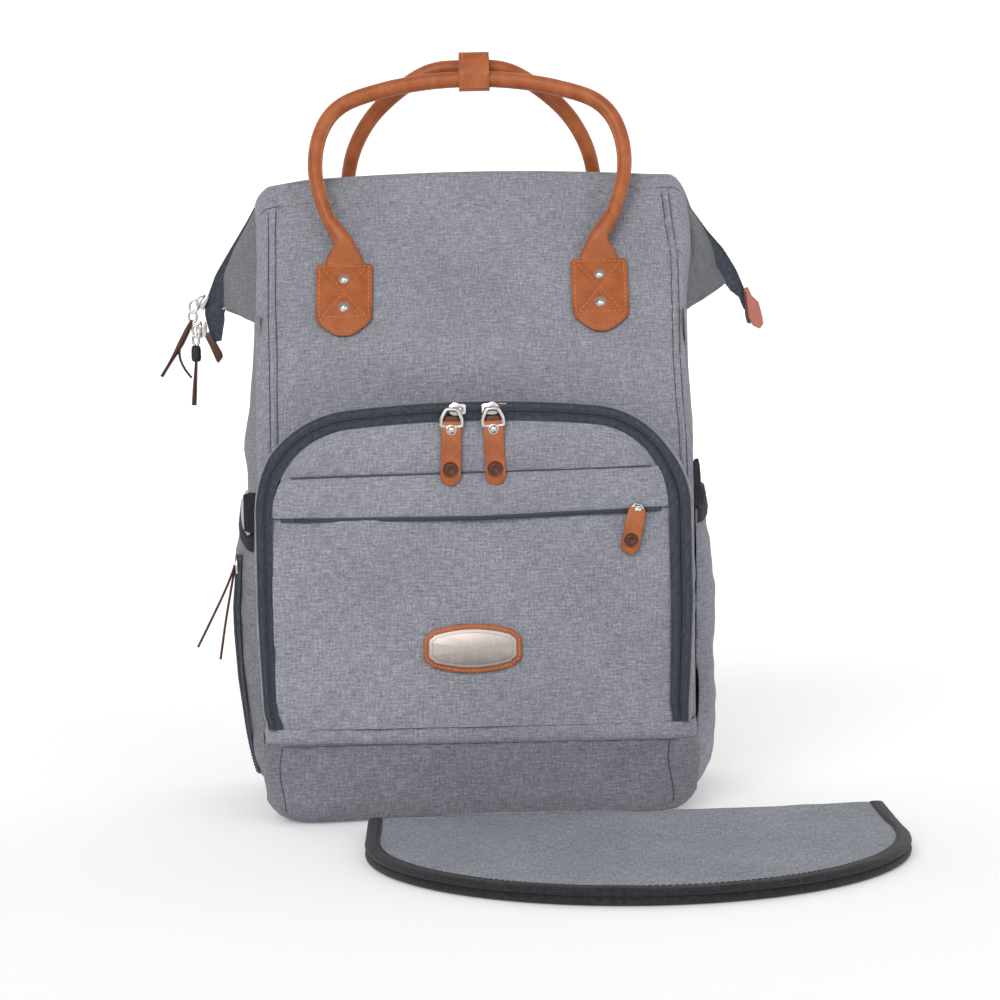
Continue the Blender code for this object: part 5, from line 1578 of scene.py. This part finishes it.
POCKET_Y, POCKET_Z = (-0.0430, 0.0830), (0.0120, 0.2060)
BULGE = {
    -1: ((0.004, 0.027, 0.061, 0.086, 0.115, 0.133, 0.1715, 0.206),
         (0.0040, 0.0095, 0.0145, 0.0185, 0.0208, 0.0212, 0.0170, 0.0105)),
    1: ((0.014, 0.046, 0.076, 0.110, 0.152, 0.184, 0.206),
        (0.0110, 0.0125, 0.0141, 0.0145, 0.0126, 0.0092, 0.0066)),
}


def pocket_out(side, y, z):
    """How far a stuffed side pocket stands out from the body."""
    across = 1 - abs(2 * (y - POCKET_Y[0]) / (POCKET_Y[1] - POCKET_Y[0]) - 1) ** 6
    return across * np.interp(z, *BULGE[side])


def side_pocket(side):
    name = side_name(side)
    ys = POCKET_Y[0] + (POCKET_Y[1] - POCKET_Y[0]) * (0.5 - 0.5 * np.cos(np.linspace(0, pi, 60)))
    shares = np.linspace(0, 1, 64)
    grid = np.zeros((64, len(ys), 3))
    for i, share in enumerate(shares):
        for j, y in enumerate(ys):
            dip = (0.0270 if side < 0 else 0.0130) * hill(y + 0.0430, 0.020)
            z = POCKET_Z[0] + (POCKET_Z[1] - dip - POCKET_Z[0]) * share
            gather = 0.0009 * sin(y / 0.0085 * 2 * pi) * unit((z - 0.150) / 0.056) ** 1.5
            gather *= sin(pi * (y - POCKET_Y[0]) / 0.126) ** 0.5 if 0 < j < 59 else 0.0
            x = half_width(z) + 0.0024 + pocket_out(side, y, z) + gather
            curl = max(0.0, 1 - share / 0.13) ** 2
            grid[i, j] = (side * (x - 0.0125 * curl), y, max(0.0010, z - 0.0095 * curl ** 0.5))
    behind = (0.0, RIDGE_Y, 0.10)
    share = unit(np.sin(pi * np.linspace(0, 1, 60)))[None, :] ** 0.5
    field = rumple(grid, 0.042, 0.0034, 81.0 + 5 * side) * share
    grid = pushed(grid, behind, field)
    shell(f"side_pocket_cloth_{name}", grid, [grey_with_left_shade(side), LINING], 0.0013, behind, "root",
          [f"side_pocket_{name}"])
    # elastic binding over the pocket's mouth
    top = grid[-1].copy()
    rows = []
    for dz, out in ((-0.0095, 0.0010), (-0.0080, 0.0016), (-0.0020, 0.0017), (0.0012, 0.0012),
                    (0.0020, -0.0006), (0.0012, -0.0024), (-0.0060, -0.0028)):
        level = grid[-1 - int(round(max(0.0, -dz) / 0.0031))]
        row = level.copy()
        row[:, 2] = top[:, 2] + dz
        row[:, 0] += side * out
        rows.append(row)
    shell(f"side_pocket_elastic_{name}", np.array(rows), [BLACK], 0.0006, behind, "root")
    # black stretch gusset between the pocket's front corner and the body
    rows = []
    low, high, reach = (0.183, 0.2095, 0.0112) if side < 0 else (0.194, 0.2245, 0.0044)
    for z in np.linspace(low, high, 20):
        share = (z - low) / (high - low)
        out = reach * min(1.0, 0.62 + 3.0 * sin(pi * share) ** 0.7)
        rows.append([(side * (HALF_W - 0.0030 + (out + 0.0030) * t), -0.0468 - 0.0016 * sin(pi * t), z)
                     for t in np.linspace(0, 1, 8)])
    shell(f"side_pocket_stretch_{name}", np.array(rows), [BLACK], 0.0008, (0.0, RIDGE_Y, 0.2), "root")
    line = smooth([(side * (HALF_W + reach * (0.72 + 0.34 * sin(pi * t) ** 0.55)), -0.0436,
                    low - 0.001 + (high - low + 0.002) * t) for t in np.linspace(0.0, 1.0, 9)], 40)
    loft(f"side_pocket_piping_{name}", line, [oval(0.0015, 0.0013, 10)], [LINING if side < 0 else BLACK],
         "root")


def side_zip():
    """The upright zip at the left side pocket's front edge, with its forked pull."""
    zs = np.linspace(0.022, 0.168, 60)
    side, middle = -1, -0.0310
    ys = [middle + dy for dy in (-0.0035, -0.0020, 0.0, 0.0020, 0.0035)]
    lift = (0.0012, 0.0018, 0.0012, 0.0018, 0.0012)
    grid = [[(side * (half_width(z) + 0.0034 + pocket_out(side, y, z) + up), y, z)
             for y, up in zip(ys, lift)]
            for z in zs]
    shell("side_zip_tape_left", np.array(grid), [NAVY], 0.0009, (0.0, RIDGE_Y, 0.10), "root",
          ["side_zip"])
    spots = []
    for z in np.arange(0.0235, 0.167, 0.0021):
        x = half_width(z) + 0.0052 + pocket_out(side, middle, z)
        spots.append(((side * x, middle, z), (0, 0, 1), (side, 0, 0)))
    coil("side_zip_teeth_left", spots, (0.0013, 0.0024, 0.0012), "root")
    for count, keys in enumerate((
        [(-0.1612, 0.1610), (-0.1628, 0.1560), (-0.1680, 0.1440), (-0.1765, 0.1270), (-0.1868, 0.1070)],
        [(-0.1606, 0.1610), (-0.1618, 0.1560), (-0.1646, 0.1420), (-0.1682, 0.1230), (-0.1722, 0.0985)],
    )):
        path = smooth([(x, -0.0314 + 0.0008 * count, z) for x, z in keys], 30)
        sizes = np.interp(np.linspace(0, 1, 30), [0, 0.4, 0.6, 1.0], [0.0010, 0.0010, 0.0016, 0.0014])
        rings = [oval(0.0008, size, 10, 0.8) for size in sizes]
        loft(f"side_pull_tail_{count}", path, rings, [MAROON], "side_slider",
             ["side_slider"] if count == 0 else ())
    body = moved((-0.1588, -0.0310, 0.1600)) @ turned(-pi / 2, "Z")
    w, l = 0.0034, 0.0048
    right = [(w * 0.4, l), (w, l * 0.3), (w * 0.8, -l * 0.4), (w * 0.6, -l)]
    plate("side_slider_body", (right + [(-u, v) for u, v in reversed(right)])[::-1], 0.0016,
          body @ moved((0, -0.0016, 0)), [NICKEL], "side_slider", bevel=0.0004)


# Back and straps


def back_pad():
    """The padded back, sewn in upright channels."""
    xs, zs = np.linspace(-0.122, 0.122, 120), np.linspace(0.014, 0.2905, 100)
    grid = np.zeros((len(zs), len(xs), 3))
    for i, z in enumerate(zs):
        for j, x in enumerate(xs):
            edge = (1 - (abs(x) / 0.122) ** 10) * (1 - abs(2 * (z - 0.15225) / 0.2765) ** 14)
            edge = max(0.0, edge) ** 0.5
            channel = min(abs(x - c) for c in (-0.062, 0.0, 0.062))
            sewn = 1 - 0.62 * hill(channel, 0.0045)
            cross = min(abs(z - c) for c in (0.085, 0.155, 0.225))
            sewn *= 1 - 0.45 * hill(cross, 0.0045) * (abs(x) < 0.062)
            grid[i, j] = (x, 0.0964 + 0.0062 * edge * sewn, z)
    behind = (0.0, 0.0, 0.15)
    grid = pushed(grid, behind, rumple(grid, 0.05, 0.0008, 91.0))
    obj = shell("back_pad", grid, [PAD_MESH], 0.0012, behind, "root", ["back_wall"])


def shoulder_strap(side):
    name = side_name(side)
    home = f"strap_{name}"
    origin = Vector((side * 0.0480, 0.1002, 0.2900))
    keys = [(0.002, 0.000, 0.0015, 0.86), (0.000, 0.000, 0.0040, 0.92), (-0.030, 0.003, 0.0072, 0.97),
            (-0.070, 0.008, 0.0095, 1.0), (-0.110, 0.014, 0.0098, 1.0), (-0.150, 0.021, 0.0088, 0.97),
            (-0.185, 0.028, 0.0068, 0.84), (-0.200, 0.031, 0.0056, 0.56)]
    line = smooth([(side * x, out, z) for z, x, out, _ in keys], 70)
    run = np.linspace(0, 1, 70)
    marks = np.concatenate([[0.0], np.cumsum([dist(a[:3], b[:3]) for a, b in zip(keys, keys[1:])])])
    widths = np.interp(run, marks / marks[-1], [k[3] for k in keys]) * 0.0300
    rings = []
    for i, half in enumerate(widths):
        end = min(1.0, (run[i]) / 0.03 + 0.25, (1 - run[i]) / 0.03 + 0.25)
        ring = []
        for k in range(28):
            turn = 2 * pi * k / 28
            a, b = cos(turn), sin(turn)
            across = half * copysign(abs(a) ** 0.55, a)
            rim = 1 - 0.55 * hill(half - abs(across) - 0.0045, 0.0016)
            ring.append((across, 0.0040 * end * copysign(abs(b) ** 0.75, b) * rim))
        rings.append(ring)
    path = line + np.array(tuple(origin))
    obj = loft(f"shoulder_strap_pad_{name}", path, rings, [GREY], home,
               [f"shoulder_strap_{name}"], up=(1, 0, 0))
    lines = []
    for edge in (-1, 1):
        points = path[3:-3] + np.stack([edge * (widths[3:-3] - 0.0045), np.full(64, 0.0021),
                                        np.zeros(64)], axis=1)
        lines.append((points, np.repeat([(0.0, 1.0, 0.0)], 64, axis=0)))
    stitches(f"shoulder_strap_stitching_{name}", lines, THREAD_GREY, home)
    # webbing through the ladder lock down to the base
    keys = [(0.0320, 0.0035, -0.1940), (0.0325, 0.0022, -0.2060), (0.0328, 0.0066, -0.2110),
            (0.0330, 0.0066, -0.2170), (0.0332, 0.0036, -0.2230), (0.0338, 0.0052, -0.2310),
            (0.0372, 0.0044, -0.2420), (0.0450, 0.0008, -0.2640)]
    path = smooth([tuple(origin + Vector((side * x, y, z))) for x, y, z in keys], 60)
    loft(f"webbing_{name}", path, [oval(0.0126, 0.0008, 16, 0.5)], [BLACK], home,
         [f"strap_webbing_{name}"], up=(1, 0, 0))
    # grab loop base where the strap is sewn on
    xs = np.linspace(-0.030, 0.030, 20)
    grid = [[(origin.x + x, 0.0975 + 0.0030 * sin(pi * min(1, s * 1.1)), 0.2800 + 0.0170 * s)
             for x in xs] for s in np.linspace(0, 1, 8)]
    shell(f"strap_anchor_{name}", np.array(grid), [BLACK], 0.0010, (0.0, 0.0, 0.28), "root")


# Changing mat


MAT_PLACE = moved((0.0905, -0.136, 0.0)) @ turned(radians(1.5), "Z")


def mat_lift(x, y, upper):
    """The folded edge stays springy: it stands up towards the right end."""
    far = exp((y + 0.004) / 0.030)
    rise = 0.0024 * unit((x + 0.02) / 0.18)
    return rise * far * (1.0 if upper else 0.25)


def mat_leaf(name, home, node, z0, z1, seed):
    """One leaf: a thin padded D-shaped panel with black binding round all but its fold."""
    place, upper = MAT_PLACE, "upper" in name
    half, straight = 0.1610, 0.0760
    turns = np.linspace(-pi / 2, pi / 2, 84)
    rows = 44

    def depth(x, margin):
        return straight + sqrt(max(0.0, (half - margin) ** 2 - x * x))

    margin = 0.0015
    faces_of = {}
    for which, level, sign in (("top", z1, 1), ("bottom", z0, -1)):
        grid = np.zeros((rows, len(turns), 3))
        for j, turn in enumerate(turns):
            x = (half - margin) * sin(turn)
            reach = depth(x, margin)
            for i in range(rows):
                s = i / (rows - 1)
                y = -0.0010 - (reach - 0.0010) * s
                edge = min(1.0, (1 - s) * reach / 0.012, ((half - margin) - abs(x)) / 0.012 + 0.05)
                crown = 0.0011 * sin(min(1.0, max(0.0, edge)) * pi / 2)
                wave = noise.fractal(Vector((x, y, 0)) / 0.06 + Vector((seed, 0, 0)), 0.9, 2.0, 3)
                lift = (crown + 0.0009 * wave * min(1.0, max(0.0, edge))) if sign > 0 else 0.0
                lift += mat_lift(x, y, upper)
                grid[i, j] = place @ Vector((x, y, level - 0.0012 * sign + lift))
        faces_of[which] = grid
    top, bottom = faces_of["top"], faces_of["bottom"]
    faces, _ = sheet_faces(top, np.full(top.shape, (0.0, 0.0, 1.0)))
    inverse = place.inverted()
    points = np.concatenate([top.reshape(-1, 3), bottom.reshape(-1, 3)])
    maps = np.array([tuple(inverse @ Vector(p))[:2] for p in points])
    obj = piece(name, points, faces, maps[faces], [MAT_GREY], home, [node])
    # binding
    outline = [(-half, y) for y in np.linspace(-0.0010, -straight, 16)]
    outline += arc((0.0, -straight), half, 180, 360, 84)[1:]
    outline += [(half, y) for y in np.linspace(-straight, -0.0010, 16)[1:]]
    outline = resample(np.array(outline), 150)
    along = np.gradient(outline, axis=0)
    along /= np.linalg.norm(along, axis=1, keepdims=True)
    inwards = np.stack([-along[:, 1], along[:, 0]], axis=1)
    middle = (z0 + z1) / 2
    high = (z1 - z0) / 2
    section = [(0.0088, high + 0.0000), (0.0080, high + 0.0005), (0.0040, high + 0.0006),
               (0.0014, high + 0.0003), (0.0000, high * 0.55), (-0.0004, 0.0), (0.0000, -high * 0.55),
               (0.0014, -high + 0.0001), (0.0080, -high + 0.0001), (0.0082, -high + 0.0008),
               (0.0022, -high * 0.35), (0.0022, high * 0.35), (0.0088, high - 0.0010)]
    points = []
    size = len(section)
    for i, (x, y) in enumerate(outline):
        wave = noise.fractal(Vector((x, y, seed)) / 0.05, 0.9, 2.0, 2) * 0.0006
        for inset, z in section:
            px, py = np.array((x, y)) + inwards[i] * inset
            level = middle + z + wave * (z > 0) + mat_lift(px, py, upper)
            points.append(place @ Vector((px, py, max(0.0001, level))))
    faces = tube_faces(len(outline), size)
    maps = tube_maps(run_of(section + section[:1]), run_of(outline))
    maps += [[(0.001 * k, 0.0) for k in range(size)][::order] for order in (-1, 1)]
    points = to_xyz(points)
    a, b, c = points[0], points[1], points[size]
    if np.cross(b - a, c - a)[2] < 0:
        faces = [f[::-1] for f in faces]
        maps = [list(m)[::-1] for m in maps]
    piece(f"{name}_binding", points, faces, maps, [BLACK], home)
    line = outline + inwards * 0.0068
    spots = to_xyz([place @ Vector((x, y, z1 + 0.0006 + mat_lift(x, y, upper))) for x, y in line])
    ups = np.repeat([(0.0, 0.0, 1.0)], len(spots), axis=0)
    stitches(f"{name}_stitching", [(spots, ups)], THREAD_BLACK, home, pitch=0.0036)


def mat():
    mat_leaf("mat_lower", "mat", "mat_leaf_lower", 0.0002, 0.0044, 5.0)
    mat_leaf("mat_upper", "mat_leaf", "mat_leaf_upper", 0.0050, 0.0093, 9.0)
    rows = []
    for x in np.linspace(-0.158, 0.158, 60):
        low, high = 0.0010 + mat_lift(x, 0.0, False), 0.0086 + mat_lift(x, 0.0, True)
        rows.append([MAT_PLACE @ Vector((x, 0.0024 * cos(a) - 0.0014,
                                         (low + high) / 2 + (high - low) / 2 * sin(a)))
                     for a in np.linspace(-1.5, 1.5, 13)])
    grid = to_grid(rows)
    axis = MAT_PLACE @ Vector((0, 0, 0.0047))
    home = ("mat", "mat_leaf", (axis.x, axis.y, 0.0010), (axis.x, axis.y, 0.0084))
    shell("mat_fold", grid, [MAT_GREY], 0.0006, tuple(MAT_PLACE @ Vector((0, -0.02, 0.005))), home)


# Inside


def inside():
    """Lining over the base board."""
    rows = []
    for share in (1.0, 0.97, 0.8, 0.5, 0.02):
        ring = []
        for i in range(60):
            a, b = squared(2 * pi * i / 60, 0.2)
            x, y = 0.1290 * a * share, 0.0205 + 0.0690 * b * share
            z = 0.0072 + 0.0100 * max(0.0, share - 0.97) / 0.03
            ring.append((x, y, z))
        rows.append(ring + ring[:1])
    grid = to_grid(rows)
    shell("base_lining", grid, [LINING], 0.0006, (0.0, 0.0, -0.5), "root", (), grid[..., :2])


def build():
    body_panels()
    for side in (-1, 1):
        side_gusset(side)
        ear(side)
        side_pocket(side)
        shoulder_strap(side)
    main_zip()
    wire_casings()
    pocket_walls()
    arch_zip()
    flap_fabric()
    base_cloth()
    for half in ("front", "back"):
        for side in (-1, 1):
            handle_tab(half, side, half == "back")
        handle(half)
    wrap()
    pocket_hardware()
    badge()
    ear_hardware()
    side_zip()
    back_pad()
    mat()
    inside()
    looks = {"ladder_lock_left": PLASTIC, "ladder_lock_right": PLASTIC, "base_board": BOARD}
    for name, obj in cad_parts.items():
        if name in looks:
            for slot in obj.material_slots:
                slot.material = looks[name]


def studio():
    floor_look, tree, shader = new_look("studio_floor", 0.9, Specular_IOR_Level=0.1)
    tone = speckle(tree, add(tree, "ShaderNodeTexCoord").outputs["Object"], (0.6, 0.6, 0.6), 2.0)
    tree.links.new(ramp(tree, tone, [(0.3, (0.93, 0.93, 0.93)), (0.7, (0.95, 0.95, 0.95))]),
                   shader.inputs["Base Color"])
    shader.inputs["Emission Color"].default_value = (1.0, 1.0, 1.0, 1.0)
    shader.inputs["Emission Strength"].default_value = 0.16
    bm = bmesh.new()
    profile = [(y, 0.0) for y in np.linspace(-30.0, 2.2, 12)]
    profile += [(2.2 + 1.6 * sin(a), 1.6 - 1.6 * cos(a)) for a in np.linspace(0.1, pi / 2, 14)]
    profile += [(3.8, z) for z in np.linspace(2.0, 6.0, 5)]
    rows = [[bm.verts.new((x, y, z - 0.0001)) for x in np.linspace(-30, 30, 9)] for y, z in profile]
    for low, high in zip(rows, rows[1:]):
        for i in range(8):
            bm.faces.new((low[i], low[i + 1], high[i + 1], high[i]))
    mesh = bpy.data.meshes.new("studio_floor")
    bm.to_mesh(mesh)
    bm.free()
    mesh.materials.append(floor_look)
    mesh.polygons.foreach_set("use_smooth", [True] * len(mesh.polygons))
    floor = bpy.data.objects.new("studio_floor", mesh)
    bpy.context.scene.collection.objects.link(floor)

    world = bpy.data.worlds.new("studio")
    world.use_nodes = True
    world.node_tree.nodes["Background"].inputs[0].default_value = (1.0, 1.0, 1.0, 1.0)
    world.node_tree.nodes["Background"].inputs[1].default_value = 0.42
    bpy.context.scene.world = world
    for name, place, angle, power in LIGHTS:
        light = bpy.data.lights.new(name, "SUN")
        light.angle = radians(angle)
        light.energy = power
        lamp = bpy.data.objects.new(name, light)
        lamp.rotation_euler = (-Vector(place)).to_track_quat("-Z", "Y").to_euler()
        bpy.context.scene.collection.objects.link(lamp)
    bpy.context.scene.view_settings.view_transform = "Standard"

    camera = bpy.data.cameras.new("camera")
    camera.lens, camera.sensor_width = CAMERA_LENS, CAMERA_SENSOR
    viewer = bpy.data.objects.new("camera", camera)
    bpy.context.scene.collection.objects.link(viewer)
    viewer.matrix_world = (moved(CAMERA_PLACE) @ turned(pi / 2 - CAMERA_PITCH, "X")
                           @ turned(-CAMERA_ROLL, "Z"))
    bpy.context.scene.camera = viewer


build()
studio()
